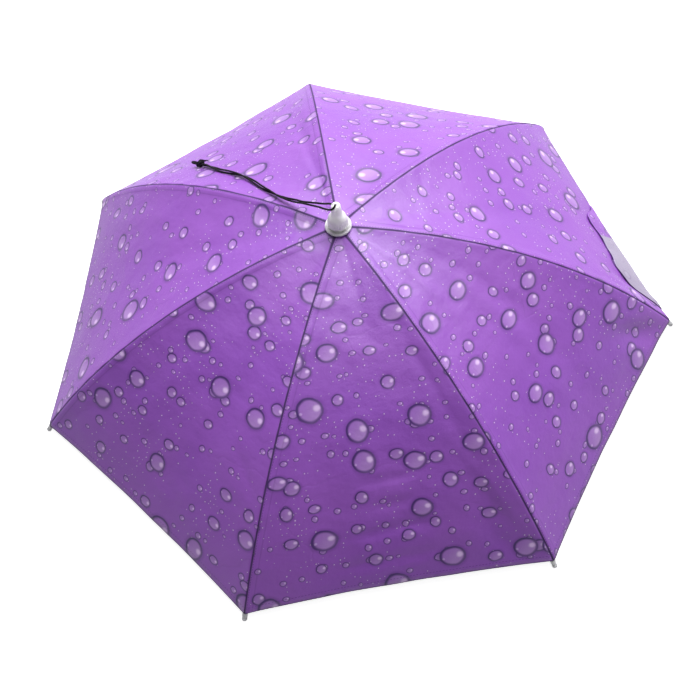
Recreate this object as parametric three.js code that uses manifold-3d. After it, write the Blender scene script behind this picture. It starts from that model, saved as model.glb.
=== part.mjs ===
// Umbrella hat: a seven-gore cloth dome on steel ribs, with a plastic ferrule on top, a thin
// hanging cord through it, and a head frame on a short shaft underneath.
// Millimetres, +Z up. The origin is the centre of the crown plate's underside, where the top of
// the head touches it. Rib 1 points along +Y, and the ribs go round clockwise seen from above.

import * as THREE from 'three';
import { mergeVertices } from 'three/addons/utils/BufferGeometryUtils.js';
import Module from 'manifold-3d';

const wasm = await Module();
wasm.setup();

// Canopy sizes
const ribCount = 7;
const canopyRadius = 325;
const apexSlope = THREE.MathUtils.degToRad(2);
const tipSlope = THREE.MathUtils.degToRad(48);
const clothThickness = 1;
const seamGap = 0.3;
const collarRadius = 5.5;
const goreHollow = 7;
const hemRise = 3;
const foldDepth = 5;
const turnedHemWidth = 20;
const turnedHemLift = 1.8;

// Frame sizes
const fitGap = 0.3;
const ribWidth = 2.6;
const ribDepth = 2;
const channelWall = 0.5;
const tipRadius = 2.5;
const tipReach = 9;
const tipWall = 0.55;
const ribGrip = 5;
const tipNeck = 0.45;
const cutOverrun = 1;
const notchRadius = 8;
const notchHeight = 9;
const shaftRadius = 4;
const shaftWall = 1;
const runnerRadius = 8;
const runnerFlangeRadius = 12;
const runnerFlangeHeight = 5;
const runnerHeight = 12;
const runnerRest = 5;
const stretcherWidth = 2.2;
const stretcherDepth = 2.6;
const stretcherReach = 120;
const stretcherFoot = 9;
const stretcherSetback = 1;

// Ferrule sizes
const flangeRadius = 12.2;
const ferruleHeight = 31.5;
const ferruleSocket = 13;
const cordHoleRadius = 1.5;
const cordHoleInset = 2.1;

// Head frame sizes
const headSeatHeight = 97;
const plateRadius = 26;
const plateThickness = 3;
const bossWall = 4;
const bossHeight = 8;
const bandHalfWidth = 78;
const bandHalfLength = 97.5;
const bandWall = 2.5;
const bandHeight = 30;
const bandDrop = 53;
const strapWidth = 22;
const strapThickness = 2;
const strapOverlap = 16;
const strapCurveEnd = 4.2;

// Cord sizes
const cordDiameter = 1.8;
const knotRadius = 3.2;

// Facets
const panelColumns = 8;
const panelRows = 12;
const ribSteps = 10;
const roundSides = 18;
const bandSides = 28;
const tipSides = 10;
const cordSides = 8;
const cordSteps = 40;

// Where the main faces lie
const goreAngle = (2 * Math.PI) / ribCount;
const domeRadius = canopyRadius / (Math.sin(tipSlope) - Math.sin(apexSlope));
const canopyDepth = domeRadius * (Math.cos(apexSlope) - Math.cos(tipSlope));
const rowAngle = (tipSlope - apexSlope) / panelRows;
const facetSag = domeRadius * (1 - Math.cos(rowAngle / 2));
const ridgeSlope = Math.sin(tipSlope) * Math.tan(goreAngle / 2) + (4 * goreHollow) / canopyRadius;
const ribDrop = clothThickness + fitGap + facetSag + (ribWidth / 2) * ridgeSlope;
const ribCentreDrop = ribDrop + ribDepth / 2;
const floorZ = -headSeatHeight;
const cornerZ = floorZ + tipRadius + (tipReach - tipRadius) * Math.sin(tipSlope)
  + ribCentreDrop * Math.cos(tipSlope);
const apexZ = cornerZ + canopyDepth;
const domeCentreRadius = -domeRadius * Math.sin(apexSlope);
const domeCentreZ = apexZ - domeRadius * Math.cos(apexSlope);
const notchTopZ = apexZ - clothThickness - 2 * fitGap - facetSag;
const ferruleBaseZ = apexZ + fitGap / 3;
const runnerTopZ = plateThickness + bossHeight + runnerRest + runnerHeight;
const shaftBottomZ = plateThickness + fitGap;
const shaftTopZ = ferruleBaseZ + ferruleSocket - fitGap;

const materials = {
  cloth: new THREE.MeshStandardMaterial({ color: 0x9a5fd0, roughness: 0.55, metalness: 0 }),
  clothDark: new THREE.MeshStandardMaterial({ color: 0x7a44b0, roughness: 0.55, metalness: 0 }),
  steel: new THREE.MeshStandardMaterial({ color: 0xb9bbc0, roughness: 0.35, metalness: 1 }),
  tip: new THREE.MeshStandardMaterial({ color: 0xe4e2ea, roughness: 0.4, metalness: 0 }),
  ferrule: new THREE.MeshStandardMaterial({ color: 0xf2f0f6, roughness: 0.35, metalness: 0 }),
  frame: new THREE.MeshStandardMaterial({ color: 0x26242a, roughness: 0.5, metalness: 0 }),
  band: new THREE.MeshStandardMaterial({ color: 0x1b1a1e, roughness: 0.85, metalness: 0 }),
  cord: new THREE.MeshStandardMaterial({ color: 0x0c0a10, roughness: 0.8, metalness: 0 }),
};

const group = new THREE.Group();

function addPiece(name, geometry, material, turn = 0) {
  const mesh = new THREE.Mesh(geometry, material);
  mesh.name = name;
  mesh.rotation.z = turn;
  group.add(mesh);
}

// Booleans on closed geometries
function toSolid(geometry) {
  const bare = geometry.clone();
  bare.deleteAttribute('normal');
  bare.deleteAttribute('uv');
  const merged = mergeVertices(bare, 1e-4);
  return new wasm.Manifold(new wasm.Mesh({
    numProp: 3,
    vertProperties: new Float32Array(merged.attributes.position.array),
    triVerts: new Uint32Array(merged.index.array),
  }));
}

function toGeometry(solid) {
  const mesh = solid.getMesh();
  const geometry = new THREE.BufferGeometry();
  geometry.setAttribute('position', new THREE.BufferAttribute(mesh.vertProperties, 3));
  geometry.setIndex(new THREE.BufferAttribute(mesh.triVerts, 1));
  return geometry;
}

// A flat outline drawn in radius and height, given a width across the radius
function radialSlab(outline, width, steps) {
  const geometry = new THREE.ExtrudeGeometry(outline, {
    depth: width, bevelEnabled: false, curveSegments: steps,
  });
  geometry.rotateX(Math.PI / 2);
  geometry.translate(0, width / 2, 0);
  return geometry;
}

function turned(profile, sides) {
  const points = profile.map(([radius, height]) => new THREE.Vector2(radius, height));
  const geometry = new THREE.LatheGeometry(points, sides);
  geometry.rotateX(Math.PI / 2);
  return geometry;
}

const ribTurn = (number) => Math.PI / 2 - (number - 1) * goreAngle;

// A point in the rib's own plane, at a slope angle of the dome and a depth under the cloth
function domePoint(slope, depth = 0) {
  const radius = domeCentreRadius + (domeRadius - depth) * Math.sin(slope);
  const height = domeCentreZ + (domeRadius - depth) * Math.cos(slope);
  return new THREE.Vector2(radius, height);
}

const slopeAtRadius = (radius, depth = 0) =>
  Math.asin((radius - domeCentreRadius) / (domeRadius - depth));

// Folds and dents of the cloth, one row each. across and down say where in the gore the fold
// has its middle, from its first seam and from the top. wide and long are its half sizes, lean
// is how far it drifts across on its way down, all as shares of the gore, and depth is a share
// of foldDepth, downwards when positive.
const folds = [
  { gore: 1, across: 0.30, down: 0.55, wide: 0.10, long: 0.50, lean: 0.10, depth: 0.45 },
  { gore: 1, across: 0.72, down: 0.80, wide: 0.12, long: 0.25, lean: -0.10, depth: -0.35 },
  { gore: 2, across: 0.62, down: 0.45, wide: 0.14, long: 0.50, lean: 0.06, depth: 0.45 },
  { gore: 2, across: 0.88, down: 0.90, wide: 0.09, long: 0.18, lean: 0.05, depth: 0.70 },
  { gore: 3, across: 0.35, down: 0.55, wide: 0.08, long: 0.45, lean: 0.16, depth: 0.55 },
  { gore: 3, across: 0.60, down: 0.30, wide: 0.08, long: 0.30, lean: 0.08, depth: -0.35 },
  { gore: 3, across: 0.12, down: 0.92, wide: 0.10, long: 0.14, lean: -0.10, depth: 0.75 },
  { gore: 4, across: 0.42, down: 0.22, wide: 0.16, long: 0.24, lean: 0.00, depth: 0.50 },
  { gore: 4, across: 0.75, down: 0.70, wide: 0.16, long: 0.35, lean: -0.12, depth: 0.50 },
  { gore: 4, across: 0.14, down: 0.85, wide: 0.10, long: 0.22, lean: -0.06, depth: 0.60 },
  { gore: 5, across: 0.32, down: 0.50, wide: 0.10, long: 0.50, lean: 0.10, depth: 0.60 },
  { gore: 5, across: 0.66, down: 0.62, wide: 0.14, long: 0.40, lean: 0.14, depth: -0.45 },
  { gore: 6, across: 0.45, down: 0.45, wide: 0.16, long: 0.50, lean: 0.05, depth: 0.40 },
  { gore: 6, across: 0.80, down: 0.72, wide: 0.10, long: 0.28, lean: 0.05, depth: -0.30 },
  { gore: 7, across: 0.84, down: 0.50, wide: 0.08, long: 0.50, lean: 0.02, depth: 0.40 },
];

const roundedStep = (share) => (Math.abs(share) < 1 ? (0.5 + 0.5 * Math.cos(Math.PI * share)) : 0);

// How far the cloth lies under the straight line between its two ribs
function clothSink(gore, across, down) {
  const span = 4 * across * (1 - across);
  const swell = Math.sin(Math.PI * Math.min(down, 1) ** 0.85) * 0.65 + 0.35 * down;
  let sink = goreHollow * span * swell;
  for (const fold of folds) {
    if (fold.gore !== gore) continue;
    const along = (down - fold.down) / fold.long;
    const aside = (across - fold.across - fold.lean * along) / fold.wide;
    const edge = Math.min(1, span * 2.5);
    sink += foldDepth * fold.depth * roundedStep(along) * roundedStep(aside) * edge;
  }
  return sink;
}

// The cloth's outer face. across runs from the gore's first seam to its second and down from
// the apex to the hem. The cloth keeps half a seam gap from each rib's plane.
function clothPoint(gore, across, down) {
  const hemCut = (hemRise / (domeRadius * (tipSlope - apexSlope))) * 4 * across * (1 - across);
  const firstSlope = slopeAtRadius(collarRadius);
  const slope = firstSlope + (tipSlope - firstSlope) * down * (1 - hemCut);
  const inRib = domePoint(slope);
  const startTurn = ribTurn(gore);
  const endTurn = ribTurn(gore + 1);
  const chord = 2 * inRib.x * Math.sin(goreAngle / 2);
  const margin = seamGap / 2 / (chord * Math.cos(goreAngle / 2));
  const share = margin + (1 - 2 * margin) * across;
  const start = new THREE.Vector3(inRib.x * Math.cos(startTurn), inRib.x * Math.sin(startTurn), inRib.y);
  const end = new THREE.Vector3(inRib.x * Math.cos(endTurn), inRib.x * Math.sin(endTurn), inRib.y);
  const middleTurn = (startTurn + endTurn) / 2;
  const steepness = Math.tan(slope) / Math.cos(goreAngle / 2);
  const outward = new THREE.Vector3(
    Math.cos(middleTurn) * steepness, Math.sin(middleTurn) * steepness, 1).normalize();
  return start.lerp(end, share).addScaledVector(outward, -clothSink(gore, across, down));
}

function clothNormal(gore, across, down) {
  const step = 0.004;
  const low = (value) => Math.max(0, value - step);
  const high = (value) => Math.min(1, value + step);
  const alongAcross = clothPoint(gore, high(across), down).sub(clothPoint(gore, low(across), down));
  const alongDown = clothPoint(gore, across, high(down)).sub(clothPoint(gore, across, low(down)));
  return alongDown.cross(alongAcross).negate().normalize();
}

// A point under the outer face. On a seam it keeps the outer point's distance to the rib's plane.
function clothDepthPoint(gore, across, down, depth) {
  const outer = clothPoint(gore, across, down);
  const inner = outer.clone().addScaledVector(clothNormal(gore, across, down), -depth);
  for (const [edge, number] of [[0, gore], [1, gore + 1]]) {
    if (across !== edge) continue;
    const side = new THREE.Vector3(-Math.sin(ribTurn(number)), Math.cos(ribTurn(number)), 0);
    inner.addScaledVector(side, outer.dot(side) - inner.dot(side));
  }
  return inner;
}

// A closed sheet from a grid of outer points and a grid of inner points
function sheetGeometry(columns, rows, outerAt, innerAt) {
  const positions = [];
  const triangles = [];
  const layer = (columns + 1) * (rows + 1);
  for (const pointAt of [outerAt, innerAt]) {
    for (let row = 0; row <= rows; row += 1) {
      for (let column = 0; column <= columns; column += 1) {
        positions.push(...pointAt(column / columns, row / rows).toArray());
      }
    }
  }
  const at = (column, row) => row * (columns + 1) + column;
  const quad = (a, b, c, d) => triangles.push(a, b, c, a, c, d);
  for (let row = 0; row < rows; row += 1) {
    for (let column = 0; column < columns; column += 1) {
      const corners = [at(column, row), at(column, row + 1), at(column + 1, row + 1), at(column + 1, row)];
      const [a, b, c, d] = corners;
      quad(a, d, c, b);
      quad(a + layer, b + layer, c + layer, d + layer);
    }
  }
  for (let column = 0; column < columns; column += 1) {
    const top = at(column, 0);
    const hem = at(column, rows);
    quad(top, top + layer, top + 1 + layer, top + 1);
    quad(hem, hem + 1, hem + 1 + layer, hem + layer);
  }
  for (let row = 0; row < rows; row += 1) {
    const first = at(0, row);
    const last = at(columns, row);
    const next = columns + 1;
    quad(first, first + next, first + next + layer, first + layer);
    quad(last, last + layer, last + next + layer, last + next);
  }
  const geometry = new THREE.BufferGeometry();
  geometry.setAttribute('position', new THREE.Float32BufferAttribute(positions, 3));
  geometry.setIndex(triangles);
  return geometry;
}

function panelGeometry(gore) {
  return sheetGeometry(
    panelColumns,
    panelRows,
    (across, down) => clothPoint(gore, across, down),
    (across, down) => clothDepthPoint(gore, across, down, clothThickness),
  );
}

// The stretch of hem that is turned up over the outside, from and to as shares of the gore
const turnedHem = { gore: 2, from: 0.36, to: 0.96, columns: 10, rows: 3, endWidth: 0.12 };

function turnedHemGeometry() {
  const { gore, from, to, columns, rows, endWidth } = turnedHem;
  const ribLength = domeRadius * (tipSlope - apexSlope);
  const place = (along, inward) => {
    const width = turnedHemWidth * (endWidth + (1 - endWidth) * Math.sin(Math.PI * along ** 1.15));
    return [from + (to - from) * along, 1 - (inward * width) / ribLength];
  };
  const rise = (inward) => turnedHemLift * Math.min(1, 0.35 + 1.4 * inward);
  const layerAt = (along, inward, height) => {
    const [across, down] = place(along, inward);
    return clothDepthPoint(gore, across, down, -height);
  };
  return sheetGeometry(
    columns,
    rows,
    (along, inward) => layerAt(along, 1 - inward, rise(1 - inward)),
    (along, inward) => layerAt(along, 1 - inward, rise(1 - inward) - clothThickness),
  );
}

// Ribs: a channel open downwards, bent along the dome under each seam
function ribBand(depthTop, depthBottom, fromSlope, toSlope) {
  const outline = new THREE.Shape();
  const start = domePoint(fromSlope, depthTop);
  const end = domePoint(toSlope, depthBottom);
  const fromAngle = Math.PI / 2 - fromSlope;
  const toAngle = Math.PI / 2 - toSlope;
  outline.moveTo(start.x, start.y);
  outline.absarc(domeCentreRadius, domeCentreZ, domeRadius - depthTop, fromAngle, toAngle, true);
  outline.lineTo(end.x, end.y);
  outline.absarc(domeCentreRadius, domeCentreZ, domeRadius - depthBottom, toAngle, fromAngle, false);
  outline.closePath();
  return outline;
}

function ribGeometry() {
  const fromSlope = slopeAtRadius(notchRadius + fitGap, ribCentreDrop);
  const toSlope = tipSlope + ribGrip / domeRadius;
  const bar = ribBand(ribDrop, ribDrop + ribDepth, fromSlope, toSlope);
  const overrun = cutOverrun / domeRadius;
  const groove = ribBand(
    ribDrop + channelWall, ribDrop + ribDepth + cutOverrun, fromSlope - overrun, toSlope + overrun);
  const solid = toSolid(radialSlab(bar, ribWidth, ribSteps));
  const cut = toSolid(radialSlab(groove, ribWidth - 2 * channelWall, ribSteps));
  return toGeometry(solid.subtract(cut));
}

// Rib tips: a cap with a blind socket over the rib's end, rounded at the far end
function ribTipGeometry() {
  const socketDepth = ribGrip + fitGap;
  const socketRadius = tipRadius - tipWall;
  const neckRadius = tipRadius - tipNeck;
  const profile = [[0, tipReach]];
  for (const bend of [30, 60, 90]) {
    const angle = THREE.MathUtils.degToRad(bend);
    profile.push([tipRadius * Math.sin(angle), tipReach - tipRadius * (1 - Math.cos(angle))]);
  }
  profile.push([neckRadius, tipReach - tipRadius - 2 * tipNeck]);
  profile.push([tipRadius, socketDepth - tipWall]);
  profile.push([tipRadius, fitGap]);
  profile.push([socketRadius, fitGap]);
  profile.push([socketRadius, socketDepth]);
  profile.push([0, socketDepth]);
  const geometry = turned(profile.reverse(), tipSides);
  geometry.rotateY(Math.PI / 2 + tipSlope);
  const corner = domePoint(tipSlope, ribCentreDrop);
  geometry.translate(corner.x, 0, corner.y);
  return geometry;
}

// Stretchers: from the runner's flange up to the underside of each rib
function stretcherGeometry() {
  const underRib = ribDrop + ribDepth + fitGap;
  const endSlope = slopeAtRadius(stretcherReach, underRib);
  const footSlope = slopeAtRadius(stretcherReach - stretcherFoot, underRib);
  const toe = domePoint(endSlope, underRib);
  const heel = domePoint(footSlope, underRib);
  const hubRadius = runnerFlangeRadius + fitGap;
  const hubTop = runnerTopZ - stretcherSetback;
  const outline = new THREE.Shape();
  outline.moveTo(hubRadius, hubTop - stretcherDepth);
  outline.lineTo(toe.x, toe.y - stretcherDepth);
  outline.lineTo(toe.x, toe.y);
  outline.lineTo(heel.x, heel.y);
  outline.lineTo(hubRadius, hubTop);
  outline.closePath();
  return radialSlab(outline, stretcherWidth, 1);
}

// Ferrule sections: radius as a share of flangeRadius and height as a share of ferruleHeight
const ferruleSections = [
  { radius: 1.00, height: 0.000 },
  { radius: 1.00, height: 0.045 },
  { radius: 0.95, height: 0.070 },
  { radius: 0.70, height: 0.120 },
  { radius: 0.64, height: 0.150 },
  { radius: 0.68, height: 0.180 },
  { radius: 0.62, height: 0.290 },
  { radius: 0.53, height: 0.430 },
  { radius: 0.43, height: 0.600 },
  { radius: 0.38, height: 0.780 },
  { radius: 0.36, height: 0.950 },
  { radius: 0.30, height: 0.990 },
];

const cordHole = { turn: THREE.MathUtils.degToRad(135), tilt: THREE.MathUtils.degToRad(42) };

function ferruleGeometry() {
  const boreRadius = shaftRadius + fitGap;
  const profile = [[0, ferruleSocket], [boreRadius, ferruleSocket], [boreRadius, 0]];
  for (const section of ferruleSections) {
    profile.push([section.radius * flangeRadius, section.height * ferruleHeight]);
  }
  profile.push([0, ferruleHeight]);
  const body = toSolid(turned(profile, roundSides));
  const drill = new THREE.CylinderGeometry(cordHoleRadius, cordHoleRadius, flangeRadius, tipSides);
  drill.rotateZ(Math.PI / 2);
  drill.rotateY(cordHole.tilt);
  drill.rotateZ(cordHole.turn);
  drill.translate(
    cordHoleInset * Math.cos(cordHole.turn),
    cordHoleInset * Math.sin(cordHole.turn),
    ferruleHeight - cordHoleInset,
  );
  const geometry = toGeometry(body.subtract(toSolid(drill)));
  geometry.translate(0, 0, ferruleBaseZ);
  return geometry;
}

function topNotchGeometry() {
  const bore = shaftRadius + fitGap;
  const low = notchTopZ - notchHeight;
  return turned([
    [bore, low], [notchRadius, low], [notchRadius, notchTopZ], [bore, notchTopZ], [bore, low],
  ], roundSides);
}

function shaftGeometry() {
  const inner = shaftRadius - shaftWall;
  return turned([
    [inner, shaftBottomZ], [shaftRadius, shaftBottomZ],
    [shaftRadius, shaftTopZ], [inner, shaftTopZ], [inner, shaftBottomZ],
  ], roundSides);
}

function runnerGeometry() {
  const bore = shaftRadius + fitGap;
  const low = runnerTopZ - runnerHeight;
  const shoulder = runnerTopZ - runnerFlangeHeight;
  return turned([
    [bore, low], [runnerRadius, low], [runnerRadius, shoulder], [runnerFlangeRadius, shoulder],
    [runnerFlangeRadius, runnerTopZ], [bore, runnerTopZ], [bore, low],
  ], roundSides);
}

function crownPlateGeometry() {
  const bore = shaftRadius + fitGap;
  const bossRadius = bore + bossWall;
  const bossTop = plateThickness + bossHeight;
  return turned([
    [0, 0], [plateRadius, 0], [plateRadius, plateThickness], [bossRadius, plateThickness],
    [bossRadius, bossTop], [bore, bossTop], [bore, plateThickness], [0, plateThickness],
  ], roundSides + 6);
}

function headBandGeometry() {
  const outline = new THREE.Shape();
  outline.absellipse(0, 0, bandHalfWidth + bandWall, bandHalfLength + bandWall, 0, 2 * Math.PI, false);
  const hollow = new THREE.Path();
  hollow.absellipse(0, 0, bandHalfWidth, bandHalfLength, 0, 2 * Math.PI, false);
  outline.holes.push(hollow);
  const geometry = new THREE.ExtrudeGeometry(outline, {
    depth: bandHeight, bevelEnabled: false, curveSegments: bandSides,
  });
  geometry.translate(0, 0, -bandDrop - bandHeight);
  return geometry;
}

// Crown straps: flat out of the plate's rim, over a quarter of an ellipse, down outside the band
function crownStrapGeometry(bandReach) {
  const start = plateRadius + fitGap;
  const underside = (plateThickness - strapThickness) / 2;
  const width = bandReach + fitGap - start;
  const height = bandDrop - strapCurveEnd + underside;
  const centreZ = underside - height;
  const end = -bandDrop - strapOverlap;
  const outline = new THREE.Shape();
  outline.moveTo(start, underside + strapThickness);
  outline.absellipse(
    start, centreZ, width + strapThickness, height + strapThickness, Math.PI / 2, 0, true);
  outline.lineTo(start + width + strapThickness, end);
  outline.lineTo(start + width, end);
  outline.absellipse(start, centreZ, width, height, 0, Math.PI / 2, false);
  outline.closePath();
  return radialSlab(outline, strapWidth, 9);
}

// Cord routes, chosen by hand: each strand from its mouth of the ferrule's hole to the knot
const cordRoutes = {
  over: [
    [-0.2, -0.5, 96.4], [-1.2, -3.6, 97.8], [-3.4, -4.9, 96.6], [-6.2, -2.8, 93.8],
    [-10.0, 4.0, 87.3], [-15.3, 10.6, 83.1], [-22.1, 18.5, 77.4], [-28.6, 26.3, 71.6],
    [-35.4, 34.1, 65.1], [-42.7, 41.0, 61.8], [-50.2, 49.6, 58.5], [-57.2, 60.6, 54.1],
    [-64.2, 71.7, 49.1], [-70.8, 84.3, 42.7], [-78.1, 95.4, 36.7], [-86.4, 104.0, 32.0],
    [-95.7, 112.4, 26.8], [-105.2, 121.8, 20.7], [-113.5, 133.4, 14.3], [-120.7, 144.2, 8.3],
    [-125.0, 148.2, 5.3],
  ],
  behind: [
    [-3.6, 4.8, 91.6], [-5.6, 7.2, 89.6], [-9.2, 11.3, 85.0], [-14.8, 17.4, 79.5],
    [-21.8, 24.2, 73.7], [-28.4, 30.2, 68.9], [-34.1, 35.8, 65.8], [-41.0, 42.4, 61.4],
    [-48.6, 50.2, 57.0], [-56.7, 60.1, 52.0], [-65.0, 70.4, 47.5], [-72.7, 83.1, 42.5],
    [-79.9, 94.8, 38.0], [-87.3, 104.3, 34.0], [-95.5, 113.7, 28.6], [-103.8, 123.4, 21.4],
    [-111.6, 134.2, 13.4], [-119.5, 144.0, 6.2], [-124.2, 148.6, 3.3],
  ],
};

function cordGeometry(points) {
  const path = new THREE.CatmullRomCurve3(
    points.map(([x, y, z]) => new THREE.Vector3(x, y, z)), false, 'centripetal');
  const section = new THREE.Shape();
  for (let side = 0; side < cordSides; side += 1) {
    const angle = (2 * Math.PI * side) / cordSides;
    const corner = [0.5 * cordDiameter * Math.cos(angle), 0.5 * cordDiameter * Math.sin(angle)];
    if (side === 0) section.moveTo(...corner);
    else section.lineTo(...corner);
  }
  section.closePath();
  return new THREE.ExtrudeGeometry(section, {
    steps: cordSteps, bevelEnabled: false, extrudePath: path,
  });
}

// The knot: a lump with a short cut end of cord standing out of it
const knotPlace = {
  centre: [-127.7, 151.2, 2.6],
  turn: THREE.MathUtils.degToRad(138.6),
  dip: THREE.MathUtils.degToRad(20),
  stubLength: 9,
};

function knotGeometry() {
  const lump = new THREE.SphereGeometry(knotRadius, 12, 8);
  lump.scale(1.15, 0.95, 0.85);
  const stub = new THREE.CapsuleGeometry(cordDiameter * 0.62, knotPlace.stubLength, 4, 8);
  stub.rotateZ(-Math.PI / 2);
  stub.translate(knotRadius + knotPlace.stubLength / 2 - cordDiameter, 0, 0);
  const geometry = toGeometry(toSolid(lump).add(toSolid(stub)));
  geometry.rotateY(knotPlace.dip);
  geometry.rotateZ(knotPlace.turn);
  geometry.translate(...knotPlace.centre);
  return geometry;
}

for (let number = 1; number <= ribCount; number += 1) {
  const cloth = number % 2 === 0 ? materials.clothDark : materials.cloth;
  let panel = panelGeometry(number);
  if (number === turnedHem.gore) {
    panel = toGeometry(toSolid(panel).add(toSolid(turnedHemGeometry())));
  }
  addPiece(`canopy_panel_${number}`, panel, cloth);
  addPiece(`rib_${number}`, ribGeometry(), materials.steel, ribTurn(number));
  addPiece(`rib_tip_${number}`, ribTipGeometry(), materials.tip, ribTurn(number));
  addPiece(`stretcher_${number}`, stretcherGeometry(), materials.steel, ribTurn(number));
}
addPiece('ferrule', ferruleGeometry(), materials.ferrule);
addPiece('top_notch', topNotchGeometry(), materials.frame);
addPiece('shaft', shaftGeometry(), materials.steel);
addPiece('runner', runnerGeometry(), materials.frame);
addPiece('crown_plate', crownPlateGeometry(), materials.frame);
addPiece('head_band', headBandGeometry(), materials.band);
for (let number = 1; number <= 4; number += 1) {
  const reach = (number % 2 === 1 ? bandHalfWidth : bandHalfLength) + bandWall;
  addPiece(`crown_strap_${number}`, crownStrapGeometry(reach), materials.frame, ((number - 1) * Math.PI) / 2);
}
addPiece('cord_strand_1', cordGeometry(cordRoutes.over), materials.cord);
addPiece('cord_strand_2', cordGeometry(cordRoutes.behind), materials.cord);
addPiece('cord_knot', knotGeometry(), materials.cord);

export default group;
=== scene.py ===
# %% [markdown]
# An umbrella hat is a small umbrella that sits on the head: a seven-sided cloth dome on steel
# ribs, a white plastic ferrule on top with a thin hanging cord through it, and a head frame
# underneath. The solids of the hat are loaded first as a fixed frame. Every piece that is made
# here lies where its solid lies, in metres, with +Z up and the origin under the crown plate.

# %% Load the frame
import math

import bpy
import numpy as np
from mathutils import Matrix, Vector, noise


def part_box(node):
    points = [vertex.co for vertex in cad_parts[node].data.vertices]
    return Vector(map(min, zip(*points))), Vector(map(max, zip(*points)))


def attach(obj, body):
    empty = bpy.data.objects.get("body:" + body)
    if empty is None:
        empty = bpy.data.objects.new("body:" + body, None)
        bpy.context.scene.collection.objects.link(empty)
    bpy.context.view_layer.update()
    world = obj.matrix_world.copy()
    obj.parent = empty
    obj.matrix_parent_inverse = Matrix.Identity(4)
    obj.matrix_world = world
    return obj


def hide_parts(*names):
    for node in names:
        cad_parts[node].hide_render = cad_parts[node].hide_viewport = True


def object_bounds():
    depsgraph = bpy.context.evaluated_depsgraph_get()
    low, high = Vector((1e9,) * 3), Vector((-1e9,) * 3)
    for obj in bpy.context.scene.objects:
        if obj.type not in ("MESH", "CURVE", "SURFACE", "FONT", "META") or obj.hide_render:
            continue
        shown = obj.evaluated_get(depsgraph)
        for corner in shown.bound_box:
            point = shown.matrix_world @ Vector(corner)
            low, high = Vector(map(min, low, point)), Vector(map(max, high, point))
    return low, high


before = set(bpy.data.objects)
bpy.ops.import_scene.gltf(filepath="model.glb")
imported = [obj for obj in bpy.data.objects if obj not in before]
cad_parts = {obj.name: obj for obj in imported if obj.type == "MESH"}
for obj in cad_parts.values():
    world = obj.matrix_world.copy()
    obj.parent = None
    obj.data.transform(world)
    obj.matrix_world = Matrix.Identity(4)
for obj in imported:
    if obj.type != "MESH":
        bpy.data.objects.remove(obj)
cad_low, cad_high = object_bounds()
RIB_COUNT = 7
MM = 0.001
print("frame:", len(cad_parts), "nodes, box", tuple(cad_low), tuple(cad_high))

# %% [markdown]
# The dome is drawn by circular arcs: each rib leaves the top almost level and reaches its tip
# at a slope of 48 degrees. From the canopy's radius and these two slopes follow the radius of
# the arc, the depth of the dome and the length of a rib, so these are worked out once here.

# %% Sizes of the dome
CANOPY_RADIUS = 325 * MM
APEX_SLOPE = math.radians(2)
TIP_SLOPE = math.radians(48)
DOME_RADIUS = CANOPY_RADIUS / (math.sin(TIP_SLOPE) - math.sin(APEX_SLOPE))
CANOPY_DEPTH = DOME_RADIUS * (math.cos(APEX_SLOPE) - math.cos(TIP_SLOPE))
GORE_ANGLE = 2 * math.pi / RIB_COUNT
FERRULE_BASE_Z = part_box("ferrule")[0][2]
APEX_Z = FERRULE_BASE_Z - 0.1 * MM
DOME_CENTRE_R = -DOME_RADIUS * math.sin(APEX_SLOPE)
DOME_CENTRE_Z = APEX_Z - DOME_RADIUS * math.cos(APEX_SLOPE)
FLOOR_Z = cad_low[2]
RIB_LENGTH = DOME_RADIUS * (TIP_SLOPE - APEX_SLOPE)
print("rib length", round(RIB_LENGTH, 4), "depth", round(CANOPY_DEPTH, 4), "apex", round(APEX_Z, 4))

# %% [markdown]
# The camera looks down on the hat at 61 degrees, a little turned, and rolled by 8 degrees. A
# camera's own axes are right, up and backwards, so a matrix with these three as its columns
# aims it without a constraint. The lens follows from the width of view on a 36 mm sensor.

# %% Camera
VIEW_AZIMUTH = math.radians(-1.5)
VIEW_ELEVATION = math.radians(61.2)
VIEW_ROLL = math.radians(-8.24)
VIEW_DISTANCE = 0.9287
VIEW_TARGET = Vector((-0.0076, -0.0737, -0.0351))
LENS = 49.87

back = Vector((
    math.sin(VIEW_AZIMUTH) * math.cos(VIEW_ELEVATION),
    -math.cos(VIEW_AZIMUTH) * math.cos(VIEW_ELEVATION),
    math.sin(VIEW_ELEVATION),
))
level = Vector((math.cos(VIEW_AZIMUTH), math.sin(VIEW_AZIMUTH), 0))
upright = back.cross(level)
right = level * math.cos(VIEW_ROLL) + upright * math.sin(VIEW_ROLL)
top = upright * math.cos(VIEW_ROLL) - level * math.sin(VIEW_ROLL)
bpy.ops.object.camera_add()
camera = bpy.context.object
camera.data.lens = LENS
camera.data.sensor_width = 36
camera.matrix_world = Matrix.LocRotScale(
    VIEW_TARGET + back * VIEW_DISTANCE,
    Matrix((right, top, back)).transposed(),
    None,
)
bpy.context.scene.camera = camera
print("camera at", tuple(round(value, 3) for value in camera.location))

# %% [markdown]
# A material is a tree of nodes. A small class holds one tree and adds nodes to it by short
# calls: arithmetic, colour mixing, noise, and a soft step from 0 to 1 between two limits. A
# call fills the node's sockets with values or with links, and gives back what comes out.

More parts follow.
